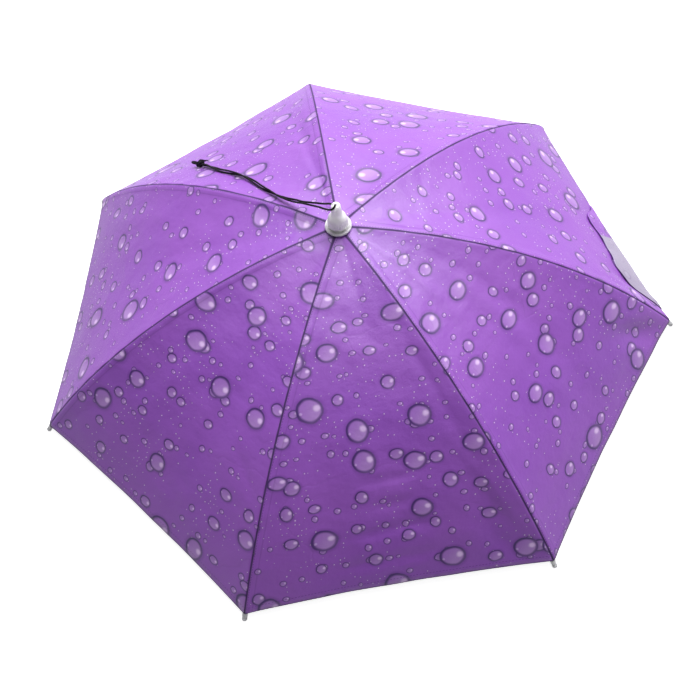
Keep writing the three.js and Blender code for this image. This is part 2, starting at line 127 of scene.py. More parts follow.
# %% Helpers for materials
class Nodes:
    """A node tree with short calls for the nodes that are used most."""

    def __init__(self, tree):
        self.tree = tree

    def feed(self, socket, value):
        if isinstance(value, bpy.types.NodeSocket):
            self.tree.links.new(value, socket)
        else:
            socket.default_value = value

    def add(self, kind, values=None, **settings):
        made = self.tree.nodes.new(kind)
        for name, value in settings.items():
            setattr(made, name, value)
        for key, value in (values or {}).items():
            self.feed(made.inputs[key], value)
        return made

    def calc(self, operation, *values):
        return self.add("ShaderNodeMath", dict(enumerate(values)), operation=operation).outputs[0]

    def times(self, first, second):
        return self.calc("MULTIPLY", first, second)

    def vector(self, operation, *values):
        made = self.add("ShaderNodeVectorMath", operation=operation)
        for index, value in enumerate(values):
            self.feed(made.inputs["Scale" if operation == "SCALE" and index else index], value)
        return made.outputs["Value" if operation in ("LENGTH", "DOT_PRODUCT", "DISTANCE") else "Vector"]

    def mix(self, factor, first, second):
        return self.add("ShaderNodeMix", {0: factor, 6: first, 7: second}, data_type="RGBA").outputs[2]

    def step(self, value, start, end, low=0.0, high=1.0):
        sockets = {0: value, 1: start, 2: end, 3: low, 4: high}
        return self.add("ShaderNodeMapRange", sockets, interpolation_type="SMOOTHSTEP").outputs[0]

    def noise(self, place, scale, detail, output="Fac", **settings):
        sockets = {"Vector": place, "Scale": scale, "Detail": detail}
        return self.add("ShaderNodeTexNoise", sockets, **settings).outputs[output]

    def uv(self, name):
        return self.add("ShaderNodeUVMap", uv_map=name).outputs[0]

    def axes(self, vector):
        return self.add("ShaderNodeSeparateXYZ", {"Vector": vector}).outputs


def new_group(name, inputs, outputs):
    """A node group with named sockets, each given with its kind."""
    nodes = Nodes(bpy.data.node_groups.new(name, "ShaderNodeTree"))
    for way, sockets in (("INPUT", inputs), ("OUTPUT", outputs)):
        for label, kind in sockets.items():
            nodes.tree.interface.new_socket(name=label, in_out=way, socket_type="NodeSocket" + kind)
    given = nodes.tree.nodes.new("NodeGroupInput").outputs
    result = nodes.tree.nodes.new("NodeGroupOutput").inputs
    return nodes, given, result


def new_material(name, **constants):
    material = bpy.data.materials.new(name)
    material.use_nodes = True
    shader = material.node_tree.nodes["Principled BSDF"]
    for key, value in constants.items():
        shader.inputs[key.replace("_", " ")].default_value = value
    return material, Nodes(material.node_tree), shader


def surface(nodes, shader, colour, height, strength=1.0, distance=1.0, roughness=None):
    """Links a colour, a height as a bump and, where it varies, a roughness to a shader."""
    nodes.feed(shader.inputs["Base Color"], colour)
    bump = nodes.add("ShaderNodeBump", {"Height": height, "Strength": strength, "Distance": distance})
    nodes.feed(shader.inputs["Normal"], bump.outputs[0])
    if roughness is not None:
        nodes.feed(shader.inputs["Roughness"], roughness)


# %% [markdown]
# A white studio: a pale floor, which glows for the camera alone so that it looks white, and a
# room that is bright behind the hat and dim on the camera's side, so that the far panels are
# light, with a satin gleam, and the near ones fall into a deeper violet. The room is a soft
# gradient over direction. One large soft lamp high behind the hat shows creases and dents.

# %% Studio
KEY_PLACE, KEY_SIZE, KEY_POWER = Vector((0.46, 1.24, 1.86)), 1.9, 90
ROOM_BRIGHT_SIDE = Vector((0.42, 0.74, 0.50)).normalized()
ROOM_MEAN, ROOM_CHANGE, ROOM_LEAST = 0.28, 0.36, 0.02
FLOOR_SIZE, FLOOR_GAP, FLOOR_GLOW = 12, 0.2 * MM, 0.85

bpy.ops.object.light_add(type="AREA", location=KEY_PLACE)
lamp = bpy.context.object
lamp.name = "key_lamp"
lamp.data.shape = "DISK"
lamp.data.size = KEY_SIZE
lamp.data.energy = KEY_POWER
lamp.rotation_mode = "QUATERNION"
lamp.rotation_quaternion = (-KEY_PLACE).to_track_quat("-Z", "Y")

world = bpy.data.worlds.new("studio_room")
world.use_nodes = True
room = Nodes(world.node_tree)
direction = room.add("ShaderNodeTexCoord").outputs["Generated"]
facing = room.vector("DOT_PRODUCT", direction, ROOM_BRIGHT_SIDE)
brightness = room.calc("MULTIPLY_ADD", facing, ROOM_CHANGE, ROOM_MEAN)
background = world.node_tree.nodes["Background"].inputs
room.feed(background["Strength"], room.calc("MAXIMUM", brightness, ROOM_LEAST))
background["Color"].default_value = (1, 1, 1, 1)
bpy.context.scene.world = world
bpy.context.scene.view_settings.view_transform = "Standard"

bpy.ops.mesh.primitive_plane_add(size=FLOOR_SIZE, location=(0, 0, FLOOR_Z - FLOOR_GAP))
floor = bpy.context.object
floor.name = "studio_floor"
floor_paint, paint, floor_shader = new_material(
    "floor_paint", Base_Color=(0.75, 0.75, 0.76, 1), Roughness=0.9, Emission_Color=(1, 1, 1, 1))
seen = paint.add("ShaderNodeLightPath").outputs["Is Camera Ray"]
paint.feed(floor_shader.inputs["Emission Strength"], paint.times(seen, FLOOR_GLOW))
floor.data.materials.append(floor_paint)
print("studio:", lamp.name, world.name, floor.name)

# %% [markdown]
# Modelling by operators needs a few habits. An operator acts on all that is selected, so
# everything is deselected first. In edit mode faces and edges are picked in code, by their
# place or their direction, where a hand would click on them.

# %% Helpers for selecting and shaping
WELD = 0.005 * MM


def pick(*objects):
    bpy.ops.object.select_all(action="DESELECT")
    for item in objects:
        item.select_set(True)
    bpy.context.view_layer.objects.active = objects[0]


def edit_all(item, kind="VERT"):
    """Opens a mesh in edit mode with all of it selected."""
    pick(item)
    bpy.ops.object.mode_set(mode="EDIT")
    bpy.ops.mesh.select_mode(type=kind)
    bpy.ops.mesh.select_all(action="SELECT")


def edit_some(item, kind, test):
    """Opens a mesh in edit mode with only the faces or edges selected that pass a test."""
    edit_all(item, kind)
    bpy.ops.mesh.select_all(action="DESELECT")
    object_mode()
    for part in item.data.polygons if kind == "FACE" else item.data.edges:
        part.select = test(part)
    bpy.ops.object.mode_set(mode="EDIT")


def object_mode():
    bpy.ops.object.mode_set(mode="OBJECT")


def extrude_faces(height):
    bpy.ops.mesh.extrude_region_move()
    bpy.ops.transform.translate(value=(0, 0, height))


def extrude_edges(height):
    bpy.ops.mesh.extrude_edges_move()
    bpy.ops.transform.translate(value=(0, 0, height))


def apply_modifier(item, kind, **settings):
    pick(item)
    modifier = item.modifiers.new(kind.lower(), kind)
    for name, value in settings.items():
        setattr(modifier, name, value)
    bpy.ops.object.modifier_apply(modifier=modifier.name)


def bevel(item, width, segments=2):
    apply_modifier(item, "BEVEL", width=width, segments=segments, limit_method="ANGLE")


def settle(item):
    """Puts an object's place into its mesh."""
    pick(item)
    bpy.ops.object.transform_apply(location=True, rotation=True, scale=True)
    return item


def add_shape(operator, **settings):
    """Adds a primitive with nothing else selected, and settles it."""
    bpy.ops.object.select_all(action="DESELECT")
    operator(**settings)
    return settle(bpy.context.object)


def add_grid(columns, rows):
    return add_shape(bpy.ops.mesh.primitive_grid_add, x_subdivisions=columns, y_subdivisions=rows,
                     size=1, calc_uvs=False)


def join(*objects):
    pick(*objects)
    bpy.ops.object.join()
    return bpy.context.object


def smooth(item, degrees):
    pick(item)
    bpy.ops.object.shade_smooth_by_angle(angle=math.radians(degrees))


def make_outward(item, weld=WELD):
    """Merges the points that meet and turns all faces outwards."""
    edit_all(item)
    bpy.ops.mesh.remove_doubles(threshold=weld)
    bpy.ops.mesh.normals_make_consistent(inside=False)
    object_mode()


def finish_piece(item, name, material, nodes):
    """Names a piece, gives it its material and slot, puts it under the root body and hides the nodes it
    replaces.
    """
    item.name = name
    item.data.name = name
    if material is not None:
        item.data.materials.clear()
        item.data.materials.append(material)
    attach(item, "root")
    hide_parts(*nodes)
    print(name, len(item.data.polygons), "faces")
    return item


def finish_at_each_rib(item, name, material, node):
    """Copies a piece to the other ribs, each copy with its own mesh, and finishes them all."""
    copies = [item]
    for number in range(1, RIB_COUNT):
        pick(item)
        bpy.ops.object.duplicate(linked=False)
        bpy.context.object.rotation_euler = (0, 0, -number * GORE_ANGLE)
        copies.append(settle(bpy.context.object))
    for number, copy in enumerate(copies, 1):
        finish_piece(copy, f"{name}_{number}", material, [f"{node}_{number}"])


# %% [markdown]
# The printed raindrops are a common pattern of this kind of cloth. Each layer scatters one
# size of drop: a Voronoi texture gives every cell a middle and a random colour, which sets the
# drop's radius and whether it is there at all. In the drop's own coordinates, a dark rim, a
# light belly and a spark of light are then drawn. A second Voronoi texture, read at the middle
# of the cell, says how far away the cell's edge is, so that no drop is cut by its neighbour.

# %% One layer of drops as a node group
SCATTER, ROOM_USED, LEAST_SHARE = 0.8, 0.93, 0.55
DROP_WOBBLE, DROP_SQUEEZE = 0.15, (0.28, 0.88)
LIGHT_SLANT, SPARK_SPOT, GLINT_SPOT = (0.72, -0.55, 0), (0.48, 0.10, 0), (-0.66, -0.16, 0)


def build_drop_layer():
    g, given, result = new_group("drop_layer", {
        "Cloth": "Vector", "Under": "Color", "Ground": "Color", "Rim": "Color", "Belly": "Color",
        "Spark": "Color", "Cell": "Float", "Smallest": "Float", "Largest": "Float",
        "Presence": "Float", "Shift": "Vector",
    }, {"Color": "Color"})
    place = g.vector("ADD", given["Cloth"], given["Shift"])
    cell = {"Scale": g.calc("DIVIDE", 1.0, given["Cell"]), "Randomness": SCATTER}
    cells = g.add("ShaderNodeTexVoronoi", {"Vector": place, **cell},
                  voronoi_dimensions="2D", feature="F1").outputs
    room = g.add("ShaderNodeTexVoronoi", {"Vector": cells["Position"], **cell},
                 voronoi_dimensions="2D", feature="DISTANCE_TO_EDGE").outputs["Distance"]
    chance = g.add("ShaderNodeSeparateColor", {"Color": cells["Color"]}).outputs
    spread = g.calc("SUBTRACT", given["Largest"], given["Smallest"])
    wanted = g.calc("MULTIPLY_ADD", chance[0], spread, given["Smallest"])
    radius = g.calc("MINIMUM", wanted, g.times(room, g.times(given["Cell"], ROOM_USED)))
    big_enough = g.calc("GREATER_THAN", radius, g.times(given["Smallest"], LEAST_SHARE))
    there = g.times(g.calc("LESS_THAN", chance[1], given["Presence"]), big_enough)
    away = g.vector("SUBTRACT", place, cells["Position"])
    local = g.vector("SCALE", away, g.calc("DIVIDE", 1.0, radius))
    wobble = g.noise(place, g.calc("DIVIDE", 0.9, given["Largest"]), 1.0, "Color",
                     noise_dimensions="2D")
    wobble = g.vector("SUBTRACT", wobble, (0.5, 0.5, 0.5))
    axes = g.axes(g.vector("ADD", local, g.vector("SCALE", wobble, DROP_WOBBLE)))
    squeeze = g.calc("MULTIPLY_ADD", chance[2], *DROP_SQUEEZE)
    tall = g.times(axes[1], squeeze)
    wide = g.calc("DIVIDE", axes[0], g.calc("MULTIPLY_ADD", squeeze, 0.5, 0.5))
    flat = g.add("ShaderNodeCombineXYZ", {"X": wide, "Y": tall}).outputs[0]
    reach = g.vector("LENGTH", flat)
    inside = g.times(g.step(reach, 1.0, 0.90), there)
    lit = g.step(g.vector("DOT_PRODUCT", flat, LIGHT_SLANT), -0.9, 0.75)
    rim = g.times(g.step(reach, 0.64, 0.85), g.step(lit, 1.0, 0.0, 0.80, 1.0))
    belly = g.mix(g.step(lit, 0.0, 1.0, 0.42, 0.95), given["Ground"], given["Belly"])
    belly = g.mix(rim, belly, given["Rim"])
    spark = g.step(g.vector("DISTANCE", flat, SPARK_SPOT), 0.34, 0.10, 0.0, 0.9)
    glint = g.step(g.vector("DISTANCE", flat, GLINT_SPOT), 0.14, 0.05, 0.0, 0.45)
    belly = g.mix(g.calc("MAXIMUM", spark, glint), belly, given["Spark"])
    halo = g.times(g.step(reach, 1.28, 0.97, 0.0, 0.25), there)
    ground = g.mix(halo, given["Under"], given["Rim"])
    g.feed(result["Color"], g.mix(inside, ground, belly))
    return g.tree


DROP_LAYER = build_drop_layer()
DROP_SIZES = [
    {"cell": 5.5, "smallest": 0.45, "largest": 1.0, "presence": 0.50, "shift": 0.31},
    {"cell": 19.0, "smallest": 1.9, "largest": 3.9, "presence": 0.55, "shift": 0.57},
    {"cell": 35.0, "smallest": 4.8, "largest": 8.2, "presence": 0.70, "shift": 0.83},
    {"cell": 56.0, "smallest": 9.5, "largest": 13.2, "presence": 0.70, "shift": 1.19},
]
SPRAY_CELL = 10


def scatter_drops(nodes, cloth, under, rim, belly, spark):
    """Lays the drops over a colour, the smallest first, which lie in clouds of spray."""
    colour = under
    spray = nodes.noise(cloth, 14.0, 1.0)
    for size in DROP_SIZES:
        fine = size["cell"] < SPRAY_CELL
        presence = size["presence"]
        layer = nodes.add("ShaderNodeGroup", {
            "Cloth": cloth, "Under": colour, "Ground": under, "Rim": rim, "Spark": spark,
            "Belly": spark if fine else belly,
            "Cell": size["cell"] * MM, "Smallest": size["smallest"] * MM,
            "Largest": size["largest"] * MM,
            "Presence": nodes.step(spray, 0.42, 0.62, 0.06, presence) if fine else presence,
            "Shift": (size["shift"], size["shift"] * 0.7, 0),
        }, node_tree=DROP_LAYER)
        colour = layer.outputs["Color"]
    return colour


print("drop layer:", len(DROP_LAYER.nodes), "nodes, used for", len(DROP_SIZES), "sizes of drop")

# %% [markdown]
# Woven cloth shows its threads only from close by, but its small unevenness shows from far
# away. One group gives fine crossing threads, a soft crumple and a few faint crease lines, as a
# height for Bump nodes, a mask of these lines, by which the canopy paints a faint shade into the
# creases, and a slow cloud that varies the colour and the roughness.

# %% Weave and crumple as a node group
THREAD_HEIGHT, WRINKLE_DEPTH, LINE_DRIFT = 0.00002, -0.00006, 0.035


def build_weave():
    g, given, result = new_group(
        "weave", {"Cloth": "Vector", "Thread": "Float", "Crumple": "Float"},
        {"Height": "Float", "Variation": "Float", "Wrinkle": "Float"})
    cloth = given["Cloth"]
    axes = g.axes(cloth)
    waves = [g.calc("SINE", g.calc("DIVIDE", g.times(axis, 2 * math.pi), given["Thread"]))
             for axis in (axes[0], axes[1])]
    threads = g.times(g.times(waves[0], waves[1]), THREAD_HEIGHT)
    sockets = {"Vector": cloth, "Scale": 38.0, "Detail": 4.0, "Roughness": 0.55}
    crumple = g.add("ShaderNodeTexNoise", sockets).outputs["Fac"]
    cloud = g.noise(cloth, 9.0, 2.0)
    drift = g.vector("SUBTRACT", g.noise(cloth, 22.0, 3.0, "Color"), (0.5, 0.5, 0.5))
    drifted = g.vector("ADD", cloth, g.vector("SCALE", drift, LINE_DRIFT))
    lines = g.add("ShaderNodeTexVoronoi", {"Vector": drifted, "Scale": 8.5},
                  voronoi_dimensions="2D", feature="DISTANCE_TO_EDGE").outputs["Distance"]
    wrinkle = g.times(g.step(lines, 0.014, 0.001), g.step(cloud, 0.50, 0.62))
    height = g.calc("MULTIPLY_ADD", crumple, given["Crumple"], threads)
    g.feed(result["Height"], g.calc("MULTIPLY_ADD", wrinkle, WRINKLE_DEPTH, height))
    g.feed(result["Variation"], cloud)
    g.feed(result["Wrinkle"], wrinkle)
    return g.tree


WEAVE = build_weave()
print("weave:", len(WEAVE.nodes), "nodes")

# %% [markdown]
# The canopy's outside is satin polyester: violet, with drops, a dark line along every seam and
# a stitched hem. The cloth map holds each point's place on the flat gore in metres, and the
# edge map its distance from the nearest seam and from the hem, so that stitches and hems
# follow the sewing. The inside has a silver coating, through which the print is a faint ghost.

# %% The printed cloth and its silver inside
VIOLET, VIOLET_SHADE = (0.270, 0.074, 0.470, 1), (0.244, 0.064, 0.452, 1)
RIM_VIOLET, BELLY_LILAC = (0.045, 0.008, 0.130, 1), (0.38, 0.20, 0.55, 1)
SPARK_WHITE = (0.70, 0.50, 0.83, 1)
SEAM_DARK, COAT_SEAM = (0.026, 0.004, 0.075, 1), (0.16, 0.08, 0.26, 1)
SILVER, SILVER_LIGHT = (0.30, 0.25, 0.38, 1), (0.36, 0.31, 0.44, 1)
GHOST_RIM, GHOST_BELLY = (0.26, 0.20, 0.35, 1), (0.38, 0.33, 0.46, 1)
GHOST_SPARK = (0.41, 0.36, 0.48, 1)
THREAD_PITCH, STITCH_WIDTH = 0.0005, 0.35 * MM
SEAM_ALLOWANCE, SEAM_STITCH, HEM_STITCH = 7.0 * MM, (-1.9 * MM, 2.6 * MM), (6.0 * MM, 3.0 * MM)


def cloth_base(nodes, crumple, first, second):
    """The cloth map, the distances from seam and hem, the weave and two tones of a colour."""
    cloth, edges = nodes.uv("cloth"), nodes.axes(nodes.uv("edge"))
    weave = nodes.add("ShaderNodeGroup", {"Cloth": cloth, "Thread": THREAD_PITCH, "Crumple": crumple},
                      node_tree=WEAVE).outputs
    tone = nodes.mix(nodes.step(weave["Variation"], 0.3, 0.7), first, second)
    return cloth, edges[0], edges[1], weave, tone


def stitch_mask(nodes, across, along, place, pitch, thickness):
    """A broken line of thread at a distance from an edge."""
    beside = nodes.calc("ABSOLUTE", nodes.calc("SUBTRACT", across, place))
    line = nodes.step(beside, thickness, thickness * 0.5)
    wave = nodes.calc("SINE", nodes.times(along, 2 * math.pi / pitch))
    return nodes.times(line, nodes.step(wave, -0.5, 0.1))


def build_canopy_cloth():
    material, n, shader = new_material("canopy_print", Roughness=0.42, Specular_IOR_Level=0.7)
    cloth, seam, hem, weave, base = cloth_base(n, 0.0013, VIOLET_SHADE, VIOLET)
    colour = scatter_drops(n, cloth, base, RIM_VIOLET, BELLY_LILAC, SPARK_WHITE)
    places = n.axes(cloth)
    allowance = n.calc("ABSOLUTE", n.calc("ADD", seam, SEAM_ALLOWANCE))
    marks = [
        n.step(n.calc("ABSOLUTE", seam), 1.6 * MM, 0.5 * MM, 0.0, 0.92),
        n.step(allowance, 1.0 * MM, 0.2 * MM, 0.0, 0.16),
        n.step(hem, 1.4 * MM, 0.4 * MM, 0.0, 0.8),
        n.times(stitch_mask(n, seam, places[1], *SEAM_STITCH, STITCH_WIDTH), 0.55),
        n.times(stitch_mask(n, hem, places[0], *HEM_STITCH, STITCH_WIDTH), 0.55),
        # painted shade: the weave's crease lines darken the cloth a little, as shade in the creases
        n.times(weave["Wrinkle"], 0.05),
    ]
    dark = marks[0]
    for mark in marks[1:]:
        dark = n.calc("MAXIMUM", dark, mark)
    rough = n.calc("MULTIPLY_ADD", dark, 0.4, n.step(weave["Variation"], 0.3, 0.7, 0.40, 0.50))
    surface(n, shader, n.mix(dark, colour, SEAM_DARK), weave["Height"], roughness=rough)
    return material


def build_silver_coat():
    material, n, shader = new_material("silver_coat", Roughness=0.42, Metallic=0.20, Sheen_Weight=0.08)
    cloth, seam, hem, weave, base = cloth_base(n, 0.0009, SILVER, SILVER_LIGHT)
    ghost = scatter_drops(n, cloth, base, GHOST_RIM, GHOST_BELLY, GHOST_SPARK)
    seam_fold = n.step(n.calc("ABSOLUTE", seam), 1.0 * MM, 0.2 * MM, 0.0, 0.7)
    fold = n.calc("MAXIMUM", seam_fold, n.step(hem, 1.4 * MM, 0.4 * MM, 0.0, 0.75))
    surface(n, shader, n.mix(fold, ghost, COAT_SEAM), weave["Height"])
    return material


canopy_print = build_canopy_cloth()
silver_coat = build_silver_coat()
print("cloth materials:", canopy_print.name, silver_coat.name)

# %% [markdown]
# The cord comes first of the pieces, because its length and route are fixed. It is a thin
# braided cord of 1.8 mm that runs through the hole in the ferrule. Its two strands droop to
# the cloth and lie twisted round each other as far as the knot. Their points are given one by
# one. A smooth curve through them is swept with a round section, and the threads of the
# braid are raised on the tube by two opposed helices.

# %% Cord routes
CORD_RADIUS, CORD_SIDES, CORD_SPACING, CORD_END = 0.9 * MM, 20, 0.4 * MM, 0.4
BRAID_STARTS, BRAID_PITCH = 4, 0.62 * MM
OVER_ROUTE = [
    (-0.0002, -0.0005, 0.0964), (-0.0012, -0.0036, 0.0978), (-0.0034, -0.0049, 0.0966),
    (-0.0062, -0.0028, 0.0938), (-0.0100, 0.0040, 0.0873), (-0.0153, 0.0106, 0.0831),
    (-0.0221, 0.0185, 0.0774), (-0.0286, 0.0263, 0.0716), (-0.0354, 0.0341, 0.0651),
    (-0.0427, 0.0410, 0.0618), (-0.0502, 0.0496, 0.0585), (-0.0572, 0.0606, 0.0541),
    (-0.0642, 0.0717, 0.0491), (-0.0708, 0.0843, 0.0427), (-0.0781, 0.0954, 0.0367),
    (-0.0864, 0.1040, 0.0320), (-0.0957, 0.1124, 0.0268), (-0.1052, 0.1218, 0.0207),
    (-0.1135, 0.1334, 0.0143), (-0.1207, 0.1442, 0.0083), (-0.1250, 0.1482, 0.0053),
]
BEHIND_ROUTE = [
    (-0.0036, 0.0048, 0.0916), (-0.0056, 0.0072, 0.0896), (-0.0092, 0.0113, 0.0850),
    (-0.0148, 0.0174, 0.0795), (-0.0218, 0.0242, 0.0737), (-0.0284, 0.0302, 0.0689),
    (-0.0341, 0.0358, 0.0658), (-0.0410, 0.0424, 0.0614), (-0.0486, 0.0502, 0.0570),
    (-0.0567, 0.0601, 0.0520), (-0.0650, 0.0704, 0.0475), (-0.0727, 0.0831, 0.0425),
    (-0.0799, 0.0948, 0.0380), (-0.0873, 0.1043, 0.0340), (-0.0955, 0.1137, 0.0286),
    (-0.1038, 0.1234, 0.0214), (-0.1116, 0.1342, 0.0134), (-0.1195, 0.1440, 0.0062),
    (-0.1242, 0.1486, 0.0033),
]


def smooth_route(points):
    """A Catmull-Rom curve through the points, with its chords' square roots as knots."""
    def blend(first, second, start, end, at):
        return first * (end - at) / (end - start) + second * (at - start) / (end - start)

    known = [np.array(point) for point in points]
    known = [2 * known[0] - known[1], *known, 2 * known[-1] - known[-2]]
    dense = []
    for a, b, c, d in zip(known, known[1:], known[2:], known[3:]):
        t1 = math.sqrt(np.linalg.norm(b - a))
        t2 = t1 + math.sqrt(np.linalg.norm(c - b))
        t3 = t2 + math.sqrt(np.linalg.norm(d - c))
        steps = max(2, int(np.linalg.norm(c - b) / CORD_SPACING))
        for t in np.linspace(t1, t2, steps, endpoint=False):
            ab, bc, cd = blend(a, b, 0, t1, t), blend(b, c, t1, t2, t), blend(c, d, t2, t3, t)
            dense.append(blend(blend(ab, bc, 0, t2, t), blend(bc, cd, t1, t3, t), t1, t2, t))
    dense.append(known[-2])
    return np.array(dense)


def route_length(points):
    return float(np.linalg.norm(np.diff(points, axis=0), axis=1).sum())


def sweep_cord(name, route, radius=CORD_RADIUS):
    """A mesh tube along a route, with a cord map: round the tube and along it, in metres."""
    steps = np.gradient(route, axis=0)
    steps /= np.linalg.norm(steps, axis=1)[:, None]
    side = np.cross(steps[0], (0.0, 0.0, 1.0))
    side /= np.linalg.norm(side)
    rings, faces = [], []
    run = np.concatenate([[0], np.cumsum(np.linalg.norm(np.diff(route, axis=0), axis=1))])
    for index, (point, step) in enumerate(zip(route, steps)):
        side = side - step * np.dot(side, step)
        side /= np.linalg.norm(side)
        other = np.cross(step, side)
        for number in range(CORD_SIDES):
            turn = 2 * math.pi * number / CORD_SIDES
            braid = max(abs(math.sin(BRAID_STARTS * turn + sign * run[index] / BRAID_PITCH))
                        for sign in (1, -1))
            reach = radius * (0.90 + 0.13 * braid)
            rings.append(point + reach * (math.cos(turn) * side + math.sin(turn) * other))
    last_ring, first = (len(route) - 1) * CORD_SIDES, len(rings)
    for number in range(CORD_SIDES):
        after = (number + 1) % CORD_SIDES
        for ring in range(0, last_ring, CORD_SIDES):
            a, b = ring + number, ring + after
            faces.append((a, b, b + CORD_SIDES, a + CORD_SIDES))
        faces.append((first, after, number))
        faces.append((first + 1, last_ring + number, last_ring + after))
    rings.append(route[0] - steps[0] * radius * CORD_END)
    rings.append(route[-1] + steps[-1] * radius * CORD_END)
    mesh = bpy.data.meshes.new(name)
    mesh.from_pydata([tuple(ring) for ring in rings], [], faces)
    cord_map = mesh.uv_layers.new(name="cord")
    away = [*np.repeat(run, CORD_SIDES), 0, run[-1]]
    for polygon in mesh.polygons:
        numbers = [mesh.loops[loop].vertex_index for loop in polygon.loop_indices]
        columns = [number % CORD_SIDES for number in numbers]
        wraps = max(columns) - min(columns) > CORD_SIDES / 2
        for loop, number, column in zip(polygon.loop_indices, numbers, columns):
            turn = column / CORD_SIDES + (1 if wraps and column == 0 else 0)
            cord_map.data[loop].uv = (turn * 2 * math.pi * radius, away[number])
    mesh.polygons.foreach_set("use_smooth", [True] * len(mesh.polygons))
    piece = bpy.data.objects.new(name, mesh)
    bpy.context.scene.collection.objects.link(piece)
    return piece


# %% Cord material
CORD_DARK, CORD_LIGHT = (0.0015, 0.0010, 0.0022, 1), (0.009, 0.006, 0.013, 1)


def build_cord_braid():
    material, n, shader = new_material("cord_braid", Roughness=0.7, Sheen_Weight=0.04,
                                       Specular_IOR_Level=0.2)
    place = n.uv("cord")
    axes = n.axes(place)
    leans = [n.calc("MULTIPLY_ADD", axes[1], sign * 1600.0, n.times(axes[0], 4400.0)) for sign in (1, -1)]
    braid = n.calc("MAXIMUM", *[n.calc("ABSOLUTE", n.calc("SINE", lean)) for lean in leans])
    tone = n.times(braid, n.noise(place, 2500.0, 3.0))
    surface(n, shader, n.mix(n.step(tone, 0.2, 0.7), CORD_DARK, CORD_LIGHT), tone, 0.5, 0.2 * MM,
            n.step(tone, 0.2, 0.7, 0.8, 0.6))
    return material


cord_braid = build_cord_braid()
for name, node, points in (
    ("hanging_cord_over", "cord_strand_1", OVER_ROUTE),
    ("hanging_cord_behind", "cord_strand_2", BEHIND_ROUTE),
):
    route = smooth_route(points)
    strand = sweep_cord(name, route)
    finish_piece(strand, name, cord_braid, [node])
    print(name, "length", round(route_length(route), 4))

# %% [markdown]
# The knot is the two strands tied together in one overhand knot. A few tight turns of cord
# round a short core look the same and stay in the knot's space. The cord's folded end stands
# out of it as a narrow loop of about 12 mm, and a short cut end has frayed into loose threads.

# %% Knot
KNOT_PLACE = np.array((-0.1277, 0.1512, 0.0026))
KNOT_TURN, KNOT_DIP = math.radians(138.6), math.radians(20)
COIL_POINTS, FRAY_COUNT, FRAY_RADIUS = 48, 16, 0.12 * MM
knot_along = np.array((math.cos(KNOT_TURN) * math.cos(KNOT_DIP),
                       math.sin(KNOT_TURN) * math.cos(KNOT_DIP), -math.sin(KNOT_DIP)))
knot_side = np.cross(knot_along, (0, 0, 1.0))
knot_side /= np.linalg.norm(knot_side)
knot_up = np.cross(knot_side, knot_along)


def knot_point(along, side, up):
    return KNOT_PLACE + MM * (along * knot_along + side * knot_side + up * knot_up)


def knot_coil(radius, reach, turns, aside):
    """Turns of cord that lean over each other, round a middle set to one side."""
    points = []
    for share in np.linspace(0, 1, COIL_POINTS).tolist():
        turn = share * turns * 2 * math.pi
        swing = radius + 0.3 * math.sin(3 * turn / turns)
        along = reach * (2 * share - 1) + 0.7 * math.sin(turn * 0.5 + 0.6)
        points.append((along, aside + swing * math.cos(turn), 0.85 * swing * math.sin(turn)))
    return points


KNOT_BIGHT = [
    (-3.2, -0.9, 0.4), (0.0, -1.0, 0.4), (4.0, -1.1, 0.5), (8.0, -1.0, 0.6), (10.6, -0.7, 0.6),
    (11.6, 0.2, 0.5), (10.4, 1.1, 0.4), (8.0, 1.2, 0.4), (4.0, 1.0, 0.3), (0.0, 1.1, 0.2),
    (-3.2, 1.0, 0.1),
]
KNOT_TAIL = [(-3.4, 2.6, -0.5), (-1.0, 4.0, -0.6), (0.8, 5.2, -0.8), (0.2, 6.3, -1.2), (-1.2, 6.9, -1.5)]
knot_pieces = []
for name, spots in (
    ("knot_coil", knot_coil(2.6, 2.9, 3.4, 0.1)), ("knot_side_coil", knot_coil(1.9, 2.2, 2.6, 3.0)),
    ("knot_bight", KNOT_BIGHT), ("knot_tail", KNOT_TAIL),
):
    knot_pieces.append(sweep_cord(name, smooth_route([knot_point(*spot) for spot in spots])))
fray = np.random.default_rng(11)
for number in range(FRAY_COUNT):
    lean = fray.normal(0, 0.7, 3)
    threads = np.array([
        knot_point(-1.0 + 0.4 * lean[0], 6.8 + 0.3 * lean[1], -1.4 + 0.3 * lean[2]),
        knot_point(-1.7 + 0.8 * lean[0], 7.3 + 0.4 * lean[1], -1.6 + 0.3 * lean[2]),
        knot_point(-2.2 + 1.3 * lean[0], 8.2 + 0.5 * abs(lean[1]), -1.7 + 0.3 * lean[2]),
    ])
    knot_pieces.append(sweep_cord(f"fray_{number}", threads, FRAY_RADIUS))
knot = finish_piece(join(*knot_pieces), "hanging_knot", cord_braid, ["cord_knot"])

# %% [markdown]
# The canopy is sewn from seven gores and worn stretched over seven ribs, so on the hat it is
# one continuous curved sheet. A rib's arc lies under every seam. Between two ribs the tight
# cloth runs almost straight across and sinks a little below that line. A few wide dents, worn
# folds and puckers at the seams are added to this sink. They are written as rows of numbers:
# where in the gore each one lies, as shares across it and down it, and how deep it goes.

# %% Dents, creases and the turned-up hem
GORE_HOLLOW = 7 * MM
HEM_RISE = 3 * MM
FOLD_DEPTH = 5 * MM
COLLAR_RADIUS = 5.5 * MM

